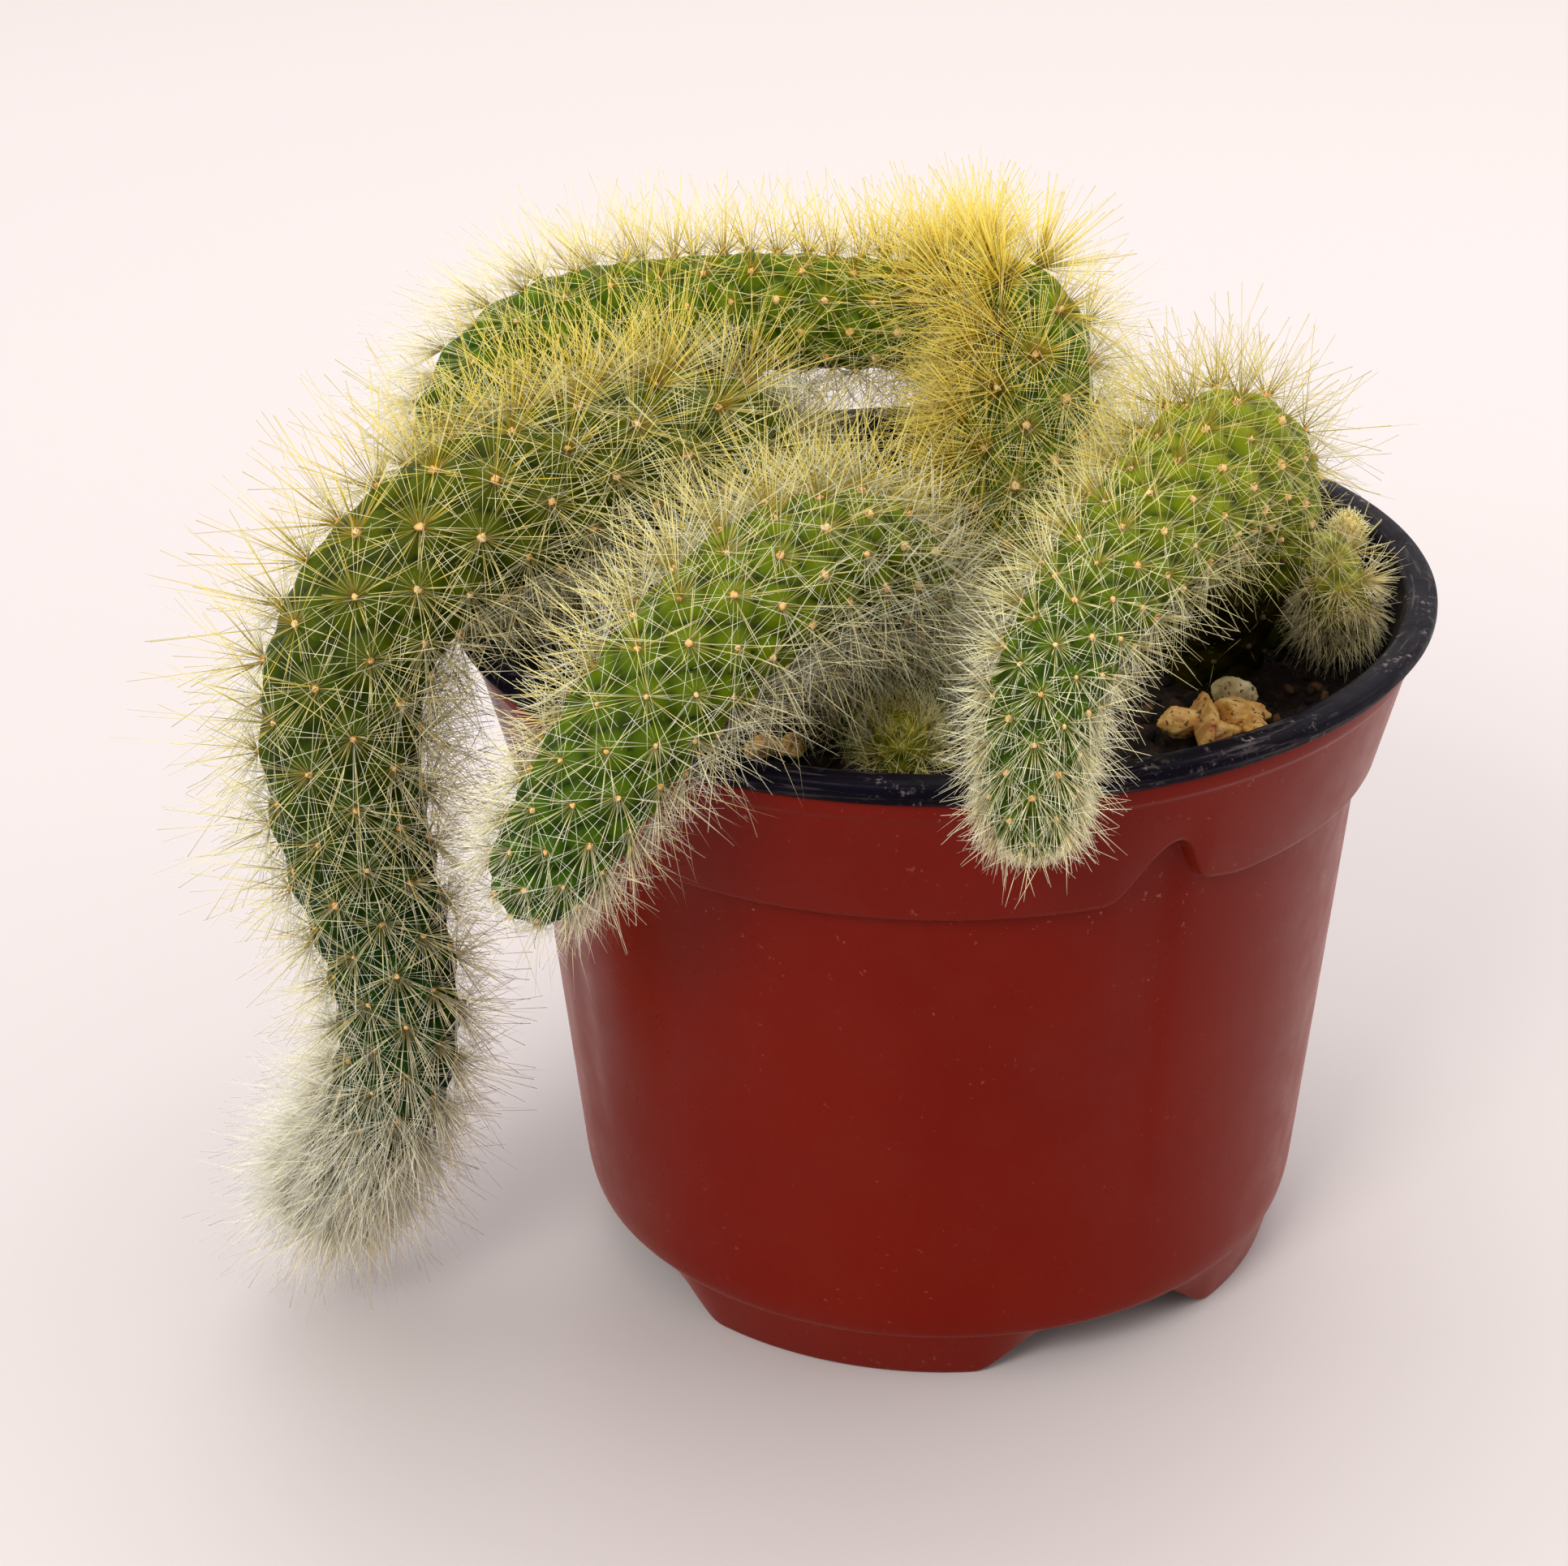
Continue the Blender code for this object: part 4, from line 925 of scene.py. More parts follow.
# The right stem's brown foot reaches to 0.4 of its length: old cork, and painted shade on a trunk in
# shadow.
right_skin = skin_finish("right_stem_skin", (38, 46, 0), (86, 99, 1), (114, 126, 5), (24, 42, 1),
                         (60, 84, 5), 0.74, (0.3, 0.4))
back_skin = skin_finish("back_stem_skin", (30, 46, 0), (64, 86, 0), (92, 112, 3), (28, 48, 1),
                        (64, 94, 3), 0.8)
dark_skin = skin_finish("dark_stem_skin", (26, 34, 0), (58, 68, 1), (74, 84, 4), (8, 30, 3),
                        (26, 58, 7), 0.62)
shoot_skin = skin_finish("shoot_skin_green", (44, 50, 2), (82, 88, 6), (116, 118, 22), (78, 82, 6),
                         (142, 138, 34), 0.8)
SKINS = {"hanging_left": (dark_skin, "stem_skin_dark"), "arching_back": (back_skin, "stem_skin"),
         "right_front": (right_skin, "stem_skin"), "shoot_right": (shoot_skin, "shoot_skin"),
         "shoot_front": (shoot_skin, "shoot_skin")}
for name in STEMS:
    stem_skin(name, *SKINS.get(name, (bright_skin, "stem_skin")))


# %% [markdown]
# ## Areoles and spines
# Each areole is a small beige cushion of wool. From it rise flat-lying radial spines
# in a star and stiffer central spines that stand out. Blender could grow them as
# hair, but hair is lost on export, so every spine is a real closed needle. A needle
# that tapers to a point would look thin and dark from afar, while a real spine is
# nearly as thick all the way. Four triangles between a short edge at the root and a
# shorter one at the tip give just that. All needles of a stem are one mesh.


# %% Where the areoles are
def areoles(name):
    """Centre, normal, direction to the tip, side, share of the length and squeeze of each."""
    count = ring_plan(name)[0]
    ring, rib = np.meshgrid(np.arange(1, count + 3), np.arange(STEMS[name]["ribs"]), indexing="ij")
    pick = (ring + rib) % 2 == 0
    ring, rib = ring[pick].astype(float), rib[pick].astype(float)
    point, n, w, hill, along, squeeze = skin_at(name, ring, rib)
    return dict(c=point, n=n, w=w, side=np.cross(w, n), along=along, squeeze=squeeze)


AREOLES = {name: areoles(name) for name in STEMS}
print("areoles:", {name: len(a["c"]) for name, a in AREOLES.items()})

# %% Finish: areole wool
wool = new_finish("areole_wool", Roughness=0.95)
where = object_place(wool)
tint = mesh_tint(wool)
tuft = grey_noise(wool, where, 3000.0, (0.3, 0.6), (0.7, 1.15), 3.0, 0.7)
to_shader(wool, Base_Color=product(wool, tint, tuft),
          Normal=bump(wool, noise(wool, where, 4200.0, 3.0, 0.7), 0.9, 0.0002))


# %% Areole cushions
# Up to this share of its length a stem is an old trunk that lies in shadow.
OLD_SHADED_TRUNK = {"right_front": 0.4}


def cushions(name, size):
    """Low domes of wool: eight sides, two rings and a top, with uneven radii.

    On the old trunk they are worn down, and painted dark as shade.
    """
    a = AREOLES[name]
    rng = np.random.default_rng(len(name))
    turn = np.arange(8) * math.pi / 4.0
    rows = [(0.9, -0.25), (0.95, 0.35), (0.6, 0.75)]
    shape = [np.stack([r * np.cos(turn), r * np.sin(turn), 0 * turn + h], -1) for r, h in rows]
    shape = np.concatenate(shape + [[[0, 0, -0.3], [0, 0, 0.9]]])
    many, corners = len(a["c"]), len(shape)
    size = size * np.interp(a["along"], (0.5, 0.8), (1.0, 0.62)) * rng.uniform(0.75, 1.2, many)
    old_and_shaded = a["along"] < OLD_SHADED_TRUNK.get(name, 0.0)
    size = size * np.where(old_and_shaded, 0.6, 1.0)
    local = shape[None] * rng.uniform(0.7, 1.25, (many, corners, 1)) * size[:, None, None]
    points = (a["c"][:, None] + local[..., :1] * a["side"][:, None] + local[..., 1:2] * a["w"][:, None]
              + local[..., 2:] * a["n"][:, None])
    quads, *fans = closed_grid(3, 8)
    faces = [copies(quads, many, corners), copies(np.concatenate(fans), many, corners)]
    mix = rng.uniform(0, 1, (many, 1))
    tints = srgb(248, 214, 150) * mix + srgb(238, 184, 106) * (1 - mix)
    # Painted shade: the wool on the shaded old trunk is darkened nearly to black.
    tints = tints * np.where(old_and_shaded, 0.12, 1.0)[:, None]
    return new_piece(name + "_areole_wool", points.reshape(-1, 3), faces, wool,
                     (NODES[name],), None, tints=np.repeat(tints, corners, 0))


for name in STEMS:
    cushions(name, 0.28 if name.startswith("shoot") else 0.62)

# %% [markdown]
# ### Keeping spines out of solid things
# A spine that would run into the pot, the soil, the floor or a stem is cut short
# just before it. Points along every spine are tested at once: the pot by its
# profile, and a stem by the distance to the nearest point of its middle line, less
# the radius there.


# %% Helper: how far spines may reach
# CLEAR is the air left at the pot in millimetres. A spine is tested against its own
# stem only beyond the share OWN_FROM, and BATCH points are tested at a time.
CLEAR, OWN_FROM, BATCH = 0.25, 0.45, 12000


def inside_solid(p):
    """Whether points are in the pot's wall or rim, the soil or the floor."""
    r, z = np.hypot(p[..., 0], p[..., 1]), p[..., 2]
    body = np.where(z > STEP_Z, collar_r(z), wall_r(np.maximum(z, 0)))
    outside = np.where(z > RIM_UNDER - 0.4, RIM_R, body) + CLEAR
    inner = np.where(z > STEP_Z, collar_r(z), wall_r(z)) - LINER_IN - CLEAR
    wall = (z < RIM_TOP + CLEAR) & (r < outside) & (r > inner)
    return wall | ((z < SOIL_Z + 0.8) & (r < outside)) | (z < 0.3)


def free_share(name, root, reach):
    """Share of each spine, from 0 to 1, that stays outside all solid things."""
    share = np.ones(len(root))
    blocked = np.zeros(len(root), bool)
    for t in np.linspace(0.2, 1.0, 9):
        p = root + reach * t
        bad = inside_solid(p)
        for other, line in LINES.items():
            if other == name and t < OWN_FROM:
                continue
            q = line["p"][::PER_MM].astype(np.float32)
            radius = line["r"][::PER_MM].astype(np.float32)
            for part in np.array_split(np.arange(len(p)), max(1, len(p) // BATCH)):
                x = p[part].astype(np.float32)
                gap = (x ** 2).sum(1)[:, None] + (q ** 2).sum(1) - 2.0 * x @ q.T
                bad[part] |= (gap < (radius + 0.15) ** 2).any(1)
        hit = bad & ~blocked
        share[hit] = t - 0.15
        blocked |= bad
    return share


# %% Helpers: straight needles and bent hairs
# Half a needle's width at its root and tip, split over two directions at right angles.
ROOT_HALF, TIP_HALF = 0.354, 0.2


def needles(root, tip, facing, wide, colours):
    """Closed needles of four triangles.

    A short edge lies across the root and a shorter one, turned by a quarter, across
    the tip. Both stand at 45 degrees to facing. So a needle is nearly as thick along
    its whole length, as a real spine is, and ends in a fine point.
    """
    axis = unit(tip - root)
    side = unit(np.cross(axis, facing))
    other = np.cross(axis, side)
    across_root = (side + other) * (ROOT_HALF * wide)[:, None]
    across_tip = (side - other) * (TIP_HALF * wide)[:, None]
    points = np.stack([root - across_root, root + across_root, tip - across_tip, tip + across_tip], 1)
    tints = np.stack([colours[0], colours[0], colours[2], colours[2]], 1)
    faces = copies(np.array([[0, 2, 1], [0, 1, 3], [0, 3, 2], [1, 2, 3]]), len(root), 4)
    return points.reshape(-1, 3), [faces], tints.reshape(-1, 3)


def bent_hairs(root, tip, sag, wide, colours):
    """Closed hairs of six triangles, pointed at both ends and bent in the middle by sag."""
    axis = unit(tip - root)
    across = np.where(abs(axis[:, 2:]) < 0.8, (0.0, 0.0, 1.0), (1.0, 0.0, 0.0))
    side = unit(np.cross(axis, across))
    other = np.cross(axis, side)
    a = np.radians((0.0, 120.0, 240.0))
    ring = np.cos(a)[None, :, None] * side[:, None] + np.sin(a)[None, :, None] * other[:, None]
    middle = (root + 0.45 * (tip - root) + sag)[:, None] + ring * (0.5 * wide)[:, None, None]
    points = np.concatenate([root[:, None], middle, tip[:, None]], 1)
    tints = np.stack([colours[0], colours[1], colours[1], colours[1], colours[2]], 1)
    faces = np.array([[0, 2, 1], [0, 3, 2], [0, 1, 3], [1, 2, 4], [2, 3, 4], [3, 1, 4]])
    return points.reshape(-1, 3), [copies(faces, len(root), 5)], tints.reshape(-1, 3)


def joined(parts):
    """Several (points, faces, tints) sets as one."""
    points, faces, tints, start = [], [], [], 0
    for p, f, t in parts:
        points.append(p)
        faces += [a + start for a in f]
        tints.append(t)
        start += len(p)
    return np.concatenate(points), faces, np.concatenate(tints)


# %% [markdown]
# ### Spine colours
# Spines that face the light are golden, those on the shaded side are silvery white,
# and the radials are nearly white. So each spine's colour is a mix that depends on
# how far its areole faces up and to the left, where this plant had its light, with
# some chance. A spine is horn, and light shines through it: half of its shader is
# translucent, else a thick coat of spines turns dark inside.

# %% Finish and colours of the spines
spine_horn = new_finish("spine_horn", Roughness=0.45, Specular_IOR_Level=0.4)
tint = mesh_tint(spine_horn)
to_shader(spine_horn, Base_Color=tint)
through = add(spine_horn, "BsdfTranslucent", {"Color": tint}).outputs["BSDF"]
solid = spine_horn.node_tree.nodes["Principled BSDF"].outputs["BSDF"]
both = add(spine_horn, "MixShader", {0: 0.55, 1: solid, 2: through}).outputs["Shader"]
spine_horn.node_tree.links.new(both, spine_horn.node_tree.nodes["Material Output"].inputs["Surface"])
GOLD = [srgb(242, 224, 104), srgb(246, 232, 124), srgb(248, 234, 134)]
CREAM = [srgb(253, 240, 150), srgb(253, 246, 180), srgb(254, 250, 214)]
SILVER = [srgb(254, 250, 231), srgb(254, 252, 241), srgb(255, 254, 248)]
PALE = [srgb(254, 252, 232), srgb(255, 254, 242), srgb(255, 255, 248)]


def spine_colours(gold, silver, pale, rng):
    """Root, middle and tip colours of spines, from each one's shares of gold and silver."""
    light = rng.uniform(0.88, 1.04, (len(gold), 1))
    out = []
    for part, kept in enumerate((0.7, 1.0, 1.0)):
        body = np.repeat((PALE if pale else CREAM)[part][None], len(gold), 0)
        body = body + (GOLD[part] - body) * gold[:, None]
        body = body + (SILVER[part] - body) * (kept * silver)[:, None]
        out.append(np.clip(body * light, 0.0, 1.0))
    return out


# %% [markdown]
# ### How each stem is armed
# The stems of one plant differ: the hanging one has long golden spines on top and a
# white furry tip, the one behind is sparsely set, and the shoots have short bristles.
# A table says how each stem is armed, in plain numbers that can be changed.

# %% The table of spines
# star, central, hair and fur: how many an areole has. Hairs grow on the shaded side,
#     fur only beyond the share fur_from of the stem's length.
# sunny: how many more central spines stand on the lit side. shade: what is left of
#     stars and central spines on the shaded side of the lower part.
# silver and golden: how much of these colours a stem has. tone: a tint over all its
#     spines, which turns into end_tone towards the tip. fine: factor for their thickness.
# length: shortest and longest of each kind in millimetres.
# golden, thick and shrink are (share of the length, value) pairs. thick is a factor
#     for the number of spines, shrink for their length.
EVEN = ((0.0, 1.0), (1.0, 1.0))
ARMS = {
    "hanging_left": dict(
        star=18, central=11, hair=22, fur=150, fur_from=0.84, sunny=0.9, shade=0.8, fine=1.0,
        end_tone=(1.0, 1.0, 1.0), silver=1.0,
        golden=((0.0, 1.1), (0.5, 1.1), (0.64, 0.1), (1.0, 0.0)), tone=(0.94, 0.94, 0.84),
        length=dict(star=(7.0, 12.0), central=(8.0, 18.0), hair=(9.0, 19.0), fur=(4.5, 8.5)),
        thick=((0.0, 1.0), (0.08, 2.2), (0.34, 2.2), (0.46, 1.2), (0.7, 1.3), (0.8, 1.5), (1.0, 1.6)),
        shrink=((0.0, 1.0), (0.66, 0.95), (0.74, 0.62), (0.84, 0.6), (0.9, 0.8), (1.0, 0.75))),
    "arching_back": dict(
        star=9, central=6, hair=22, fur=40, fur_from=0.9, sunny=6.5, shade=1.0, fine=0.95,
        end_tone=(1.0, 1.0, 1.0), silver=1.0,
        golden=((0.0, 1.3), (0.48, 1.3), (0.56, 0.7), (1.0, 0.6)), tone=(1.0, 0.99, 0.86),
        length=dict(star=(5.5, 9.5), central=(6.0, 12.0), hair=(7.0, 13.0), fur=(5.0, 8.0)),
        thick=((0.0, 2.0), (0.14, 3.6), (0.36, 3.6), (0.47, 4.2), (0.54, 1.1), (0.6, 0.65), (1.0, 0.9)),
        shrink=((0.0, 1.0), (0.34, 1.0), (0.42, 1.1), (0.5, 1.1), (0.56, 1.0), (1.0, 1.0))),
    "middle_front": dict(
        star=15, central=7, hair=6, fur=20, fur_from=0.9, sunny=1.8, shade=1.4, fine=0.95,
        end_tone=(1.0, 1.0, 0.97), silver=0.9,
        golden=((0.0, 0.8), (0.5, 0.8), (0.66, 0.2), (1.0, 0.1)), tone=(0.86, 0.85, 0.76),
        length=dict(star=(7.0, 12.0), central=(6.5, 14.0), hair=(9.0, 19.0), fur=(5.0, 9.0)),
        thick=((0.0, 1.5), (0.4, 1.35), (0.6, 1.0), (1.0, 1.0)),
        shrink=((0.0, 1.0), (0.72, 0.95), (0.85, 0.65), (1.0, 0.5))),
    "right_front": dict(
        star=13, central=8, hair=7, fur=36, fur_from=0.84, sunny=1.7, shade=0.35, fine=0.88,
        end_tone=(1.0, 1.0, 0.93), silver=0.75,
        golden=((0.0, 1.0), (0.56, 1.0), (0.7, 0.2), (1.0, 0.0)), tone=(0.8, 0.78, 0.55),
        length=dict(star=(6.5, 11.5), central=(7.0, 14.0), hair=(4.0, 7.5), fur=(4.5, 7.0)),
        thick=((0.0, 0.1), (0.36, 0.1), (0.45, 1.1), (0.6, 1.0), (0.75, 1.0), (1.0, 1.3)),
        shrink=((0.0, 0.5), (0.36, 0.5), (0.45, 1.0), (0.5, 0.95), (0.7, 0.66), (1.0, 0.46))),
    "short_rear": dict(
        star=20, central=10, hair=8, fur=20, fur_from=0.85, sunny=0.5, shade=1.0, fine=0.9,
        end_tone=(0.85, 0.84, 0.7), silver=0.6,
        golden=((0.0, 0.3), (1.0, 0.3)), tone=(0.85, 0.84, 0.7),
        length=dict(star=(4.0, 6.5), central=(5.0, 8.5), hair=(5.0, 9.0), fur=(4.0, 7.0)),
        thick=EVEN, shrink=EVEN),
    "shoot_right": dict(
        star=26, central=30, hair=0, fur=26, fur_from=0.8, sunny=0.0, shade=1.0, fine=0.95,
        end_tone=(1.0, 0.95, 0.8), silver=0.6,
        golden=((0.0, 0.3), (1.0, 0.3)), tone=(1.0, 1.0, 0.88),
        length=dict(star=(4.0, 6.2), central=(4.4, 7.2), hair=(4.0, 6.0), fur=(4.4, 6.8)),
        thick=((0.0, 0.06), (0.72, 0.06), (0.86, 1.0), (1.0, 1.0)), shrink=EVEN),
    "shoot_front": dict(
        star=20, central=16, hair=2, fur=20, fur_from=0.4, sunny=0.0, shade=1.0, fine=0.85,
        end_tone=(0.98, 0.96, 0.7), silver=0.2,
        golden=((0.0, 0.2), (1.0, 0.2)), tone=(0.95, 0.92, 0.75),
        length=dict(star=(3.0, 4.6), central=(3.4, 5.0), hair=(3.8, 5.0), fur=(3.2, 4.8)),
        thick=EVEN, shrink=EVEN),
}
# For each kind: least and greatest width at the root, least and greatest lean in degrees
# from the skin's normal, how far from the areole's middle it may stand, and its sag.
KINDS = {"star": (0.105, 0.14, 58.0, 84.0, 0.6, 0.0), "central": (0.13, 0.18, 8.0, 62.0, 0.5, 0.0),
         "hair": (0.08, 0.11, 20.0, 80.0, 0.7, 0.04), "fur": (0.09, 0.125, 6.0, 76.0, 1.8, 0.0)}
# From areole to areole the star is turned by the golden angle, in radians.
GOLDEN_TURN = 2.4
# Spines sweep to the tip beyond SWEEP_FROM of the length, in full after SWEEP_OVER more.
SWEEP_FROM, SWEEP_OVER, SWEEP, FUR_SWEEP = 0.72, 0.2, 0.7, 1.7
# The way to the plant's light, and the tint of hairs that grow in the shade: partly
# their own beige, partly painted warm shade.
SUN = unit(np.array([-0.42, -0.05, 0.9]))
HAIR_TAN_AND_SHADE = np.array([0.94, 0.86, 0.68])


def how_many(name, kind):
    """How many spines of one kind each areole of a stem has."""
    arm, a = ARMS[name], AREOLES[name]
    sun_side, along = np.clip(a["n"] @ SUN, -1.0, 1.0), a["along"]
    at_end = np.clip((along - arm["fur_from"]) / (1.0 - arm["fur_from"]), 0.0, 1.0)
    share = np.interp(along, *zip(*arm["thick"]))
    if kind == "hair":
        share = np.clip(0.35 - 1.1 * sun_side, 0.0, 1.0) * np.interp(along, (0.22, 0.34), (0.15, 1.0))
    if kind == "fur":
        share = np.clip(at_end / 0.6, 0.0, 1.0)
    if kind == "central":
        share = share * (1.0 + arm["sunny"] * np.clip(2.2 * sun_side - 0.8, 0.0, 1.0))
    if kind in ("star", "central"):
        share = share * np.where((sun_side < -0.25) & (along < 0.62), arm["shade"], 1.0)
        share = share * (1.0 - 0.35 * at_end)
    return np.round(arm[kind] * share * (a["squeeze"] < 0.75)).astype(int)


def spine_tints(arm, kind, sun, far, rng):
    """Colours of spines from how far they face the light and where on the stem they are."""
    gold = np.interp(far, *zip(*arm["golden"])) * (0.5 + sun) * rng.uniform(0.4, 1.4, len(far))
    if kind != "central":
        gold = 0.3 * gold
    silver = np.clip(0.3 - 0.9 * sun, 0.0, 1.0) * rng.uniform(0.6, 1.0, len(far))
    silver = np.maximum(silver, np.clip((far - arm["fur_from"] + 0.12) * 6.0, 0.0, 1.0))
    if kind == "hair":
        silver = np.maximum(silver, rng.uniform(0.3, 0.9, len(far)))
    if kind == "fur":
        silver = np.ones(len(far))
    fade = np.clip((far - 0.6) / 0.25, 0.0, 1.0)[:, None]
    tone = np.array(arm["tone"]) * (1.0 - fade) + np.array(arm["end_tone"]) * fade
    # Hairs are tinted tan: partly their own beige, partly painted warm shade.
    if kind == "hair":
        tone = tone * HAIR_TAN_AND_SHADE
    silver = silver * arm["silver"]
    return [c * tone for c in spine_colours(np.clip(gold, 0.0, 1.0), silver, kind == "star", rng)]


# %% Helper: all spines of one kind on one stem
def spine_set(name, kind, rng):
    """Points, faces and tints of the spines.

    They stand round each areole at equal turns, with some chance, and lean out from
    the skin's normal. Towards the stem's tip they sweep forward.
    """
    arm, a = ARMS[name], AREOLES[name]
    thin, stout, least, most, spread, bow = KINDS[kind]
    many = how_many(name, kind)
    who = np.repeat(np.arange(len(many)), many)
    order = np.concatenate([np.arange(m) for m in many])
    n = len(who)
    turn = (order + rng.uniform(-0.4, 0.4, n)) * 2.0 * math.pi / np.maximum(many[who], 1)
    turn = turn + who * GOLDEN_TURN
    lean = np.radians(rng.uniform(least, most, n))
    short, long = arm["length"][kind]
    length = short + (long - short) * rng.uniform(0, 1, n) ** (1.0 if kind == "star" else 1.5)
    length = length * np.interp(a["along"][who], *zip(*arm["shrink"]))
    flat = np.cos(turn)[:, None] * a["side"][who] + np.sin(turn)[:, None] * a["w"][who]
    way = np.cos(lean)[:, None] * a["n"][who] + np.sin(lean)[:, None] * flat
    sweep = SWEEP * np.clip((a["along"][who] - SWEEP_FROM) / SWEEP_OVER, 0.0, 1.0)
    if kind == "fur":
        sweep = FUR_SWEEP * sweep
    way = unit(way + sweep[:, None] * a["w"][who])
    root = a["c"][who] + flat * rng.uniform(0.4 * spread, spread, n)[:, None] + a["n"][who] * 0.12
    free = free_share(name, root, way * length[:, None])
    ok = free > 0.25
    root, way, who, length, n = root[ok], way[ok], who[ok], (length * free)[ok], int(ok.sum())
    sun, far = np.clip(a["n"] @ SUN, -1.0, 1.0)[who], a["along"][who]
    colours = spine_tints(arm, kind, sun, far, rng)
    sag = unit(rng.normal(size=(n, 3))) * (bow * length)[:, None]
    tip = root + way * length[:, None]
    wide = arm["fine"] * rng.uniform(thin, stout, n) * np.interp(far, (0.6, 0.82), (1.0, 0.8))
    if kind == "hair":
        return bent_hairs(root, tip, sag, wide, colours)
    return needles(root, tip, a["n"][who], wide, colours)


# %% The spines of every stem
for number, name in enumerate(STEMS):
    rng = np.random.default_rng(500 + number)
    for part, kinds in (("_spines", ("star", "central")), ("_hairs", ("hair", "fur"))):
        points, faces, tints = joined([spine_set(name, kind, rng) for kind in kinds])
        new_piece(name + part, points, faces, spine_horn, (NODES[name],), None, tints=tints)

# %% [markdown]
# ## The woolly bud
# Beside the right shoot sits a cream bud, a small egg wrapped in wool. It is an egg
# with a lumpy skin, and short soft hairs cover it.

# %% Finish and form of the bud
bud_wool = new_finish("bud_wool", Roughness=0.95)
where = object_place(bud_wool)
colour = ramp(bud_wool, noise(bud_wool, where, 700.0, 4.0), (0.3, srgb(176, 150, 84)),
              (0.7, srgb(226, 208, 148)))
lumps = bump(bud_wool, noise(bud_wool, where, 2600.0, 3.0), 0.8, 0.0003)
to_shader(bud_wool, Base_Color=colour, Normal=lumps)
ball, faces = round_ball(22, 32)
egg = ball * (1.0 + 0.06 * waves(ball, 0.6, 71))[:, None] * (1.9, 1.9, 2.3)
BUD = np.array([51.0, 14.0, 87.4])
new_piece("bud_body", egg + BUD, faces, bud_wool, ("woolly_bud",), "cream_wool")

# %% The bud's hairs
rng = np.random.default_rng(72)
many = 700
way = unit(rng.normal(size=(many, 3)))
root = BUD + way * (1.8, 1.8, 2.2)
tip = root + unit(way + rng.normal(size=(many, 3)) * 0.35) * rng.uniform(0.8, 1.8, (many, 1))
hair = [np.repeat(c[None], many, 0) for c in CREAM]
points, faces, tints = needles(root, tip, way + (0.3, 0.2, 0.1), np.full(many, 0.12), hair)
new_piece("bud_hairs", points, faces, spine_horn, ("woolly_bud",), None, tints=tints)

# %% [markdown]
# ## Studio
# The photograph was taken in a bright tent: a white floor that runs up behind, soft
# light from above and from both sides, and a smaller lamp at the front left that
# brings out the spines. Large area lamps and a pale world give the same, so the
# pot's edges shine and its middle is deep red.

# %% Floor
paper = new_finish("white_paper", Roughness=0.55)
where = object_place(paper)
away = add(paper, "SeparateXYZ", {"Vector": where}).outputs["Y"]
# The paper is painted lighter further back: a painted gradient of light across the floor.
to_shader(paper, Base_Color=ramp(paper, away, (0.1, srgb(178, 171, 170)), (0.8, srgb(200, 192, 190))))
floor_mesh = bpy.data.meshes.new("floor")
floor_mesh.from_pydata([(-8, -8, 0), (8, -8, 0), (8, 8, 0), (-8, 8, 0)], [], [(0, 1, 2, 3)])
floor_mesh.materials.append(paper)
floor = new_object("floor", floor_mesh)


# %% Lamps and world
def softbox(name, place, aim, width, height, power, colour=(1.0, 1.0, 1.0)):
    """Rectangular area lamp at place, turned to face aim."""
    lamp = bpy.data.lights.new(name, "AREA")
    lamp.shape = "RECTANGLE"
    lamp.size, lamp.size_y, lamp.energy, lamp.color = width, height, power, colour
    holder = new_object(name, lamp)
    holder.location = place
    holder.rotation_euler = (Vector(aim) - Vector(place)).to_track_quat("-Z", "Y").to_euler()


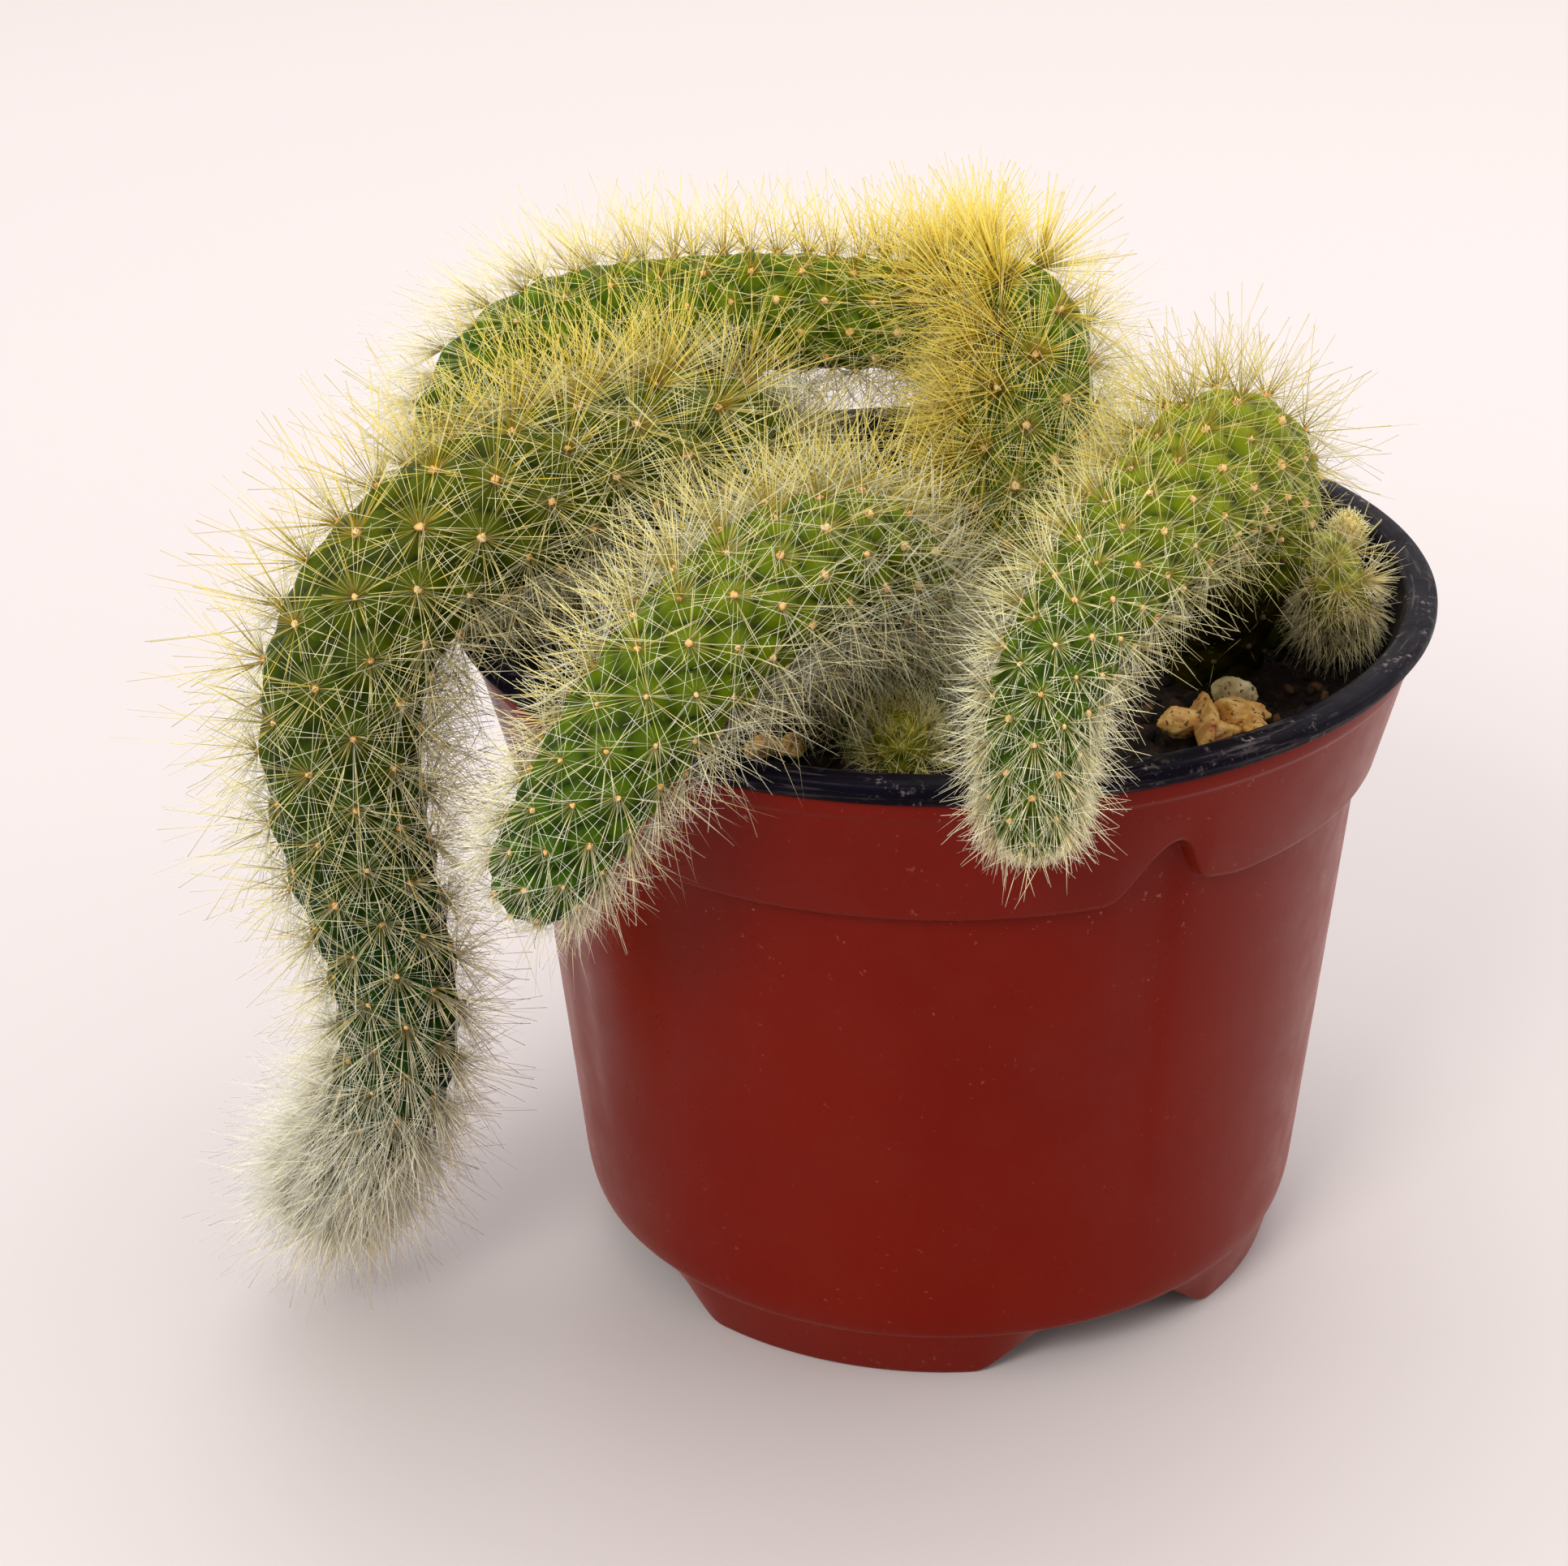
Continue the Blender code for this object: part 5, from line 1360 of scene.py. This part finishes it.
softbox("top_light", (0.12, 0.32, 0.9), (0.0, 0.0, 0.05), 0.9, 0.7, 5.5)
softbox("front_light", (-0.35, -0.75, 0.72), (0.0, 0.0, 0.08), 0.35, 0.35, 7.8, (1.0, 0.98, 0.94))
softbox("left_light", (-0.85, 0.1, 0.4), (0.0, 0.0, 0.06), 0.7, 0.6, 2.25)
softbox("right_light", (0.85, 0.1, 0.4), (0.0, 0.0, 0.06), 0.7, 0.6, 3.0, (1.0, 0.97, 0.93))
world = bpy.data.worlds.new("tent")
world.use_nodes = True
depth = add(world, "SeparateXYZ", {"Vector": add(world, "TexCoord").outputs["Generated"]}).outputs["Y"]
tent = ramp(world, add(world, "Math", {0: depth, 1: 0.5}, operation="MULTIPLY_ADD").outputs[0],
            (0.1, srgb(232, 226, 225)), (0.45, srgb(240, 235, 234)), (0.7, srgb(255, 251, 250)))
background = world.node_tree.nodes["Background"]
background.inputs["Strength"].default_value = 1.18
world.node_tree.links.new(tent, background.inputs["Color"])
bpy.context.scene.world = world
bpy.context.scene.view_settings.view_transform = "Standard"

# %% [markdown]
# ## Camera
# The camera was solved from the circles of the pot's rim, collar and feet, so it
# stands where the photograph was taken: a little to the right turned left, looking
# down by 26 degrees.

# %% The photograph's camera
# Angles in radians, the focal length and the photograph's width in pixels, and the
# camera's place in metres from the pot's axis.
yaw, pitch, roll = -0.0524, 0.4571, -0.0169
focal, photo_width = 4063.09, 1932.0
camera_place = Vector((0.0, -0.37454, 0.24352))
ahead = np.array([math.sin(yaw) * math.cos(pitch), math.cos(yaw) * math.cos(pitch), -math.sin(pitch)])
right = np.array([math.cos(yaw), -math.sin(yaw), 0.0])
up = np.cross(right, ahead)
side = math.cos(roll) * right + math.sin(roll) * up
top = -math.sin(roll) * right + math.cos(roll) * up
lens = bpy.data.cameras.new("photo_camera")
lens.sensor_width = 36.0
lens.lens = lens.sensor_width * focal / photo_width
lens.clip_start, lens.clip_end = 0.01, 50.0
camera = new_object("photo_camera", lens)
turned = Matrix((side, top, -ahead)).transposed().to_4x4()
camera.matrix_world = Matrix.Translation(Vector(POT_AXIS) + camera_place) @ turned
bpy.context.scene.camera = camera
print("camera at", [round(c, 4) for c in camera.location], "lens %.2f mm" % lens.lens)
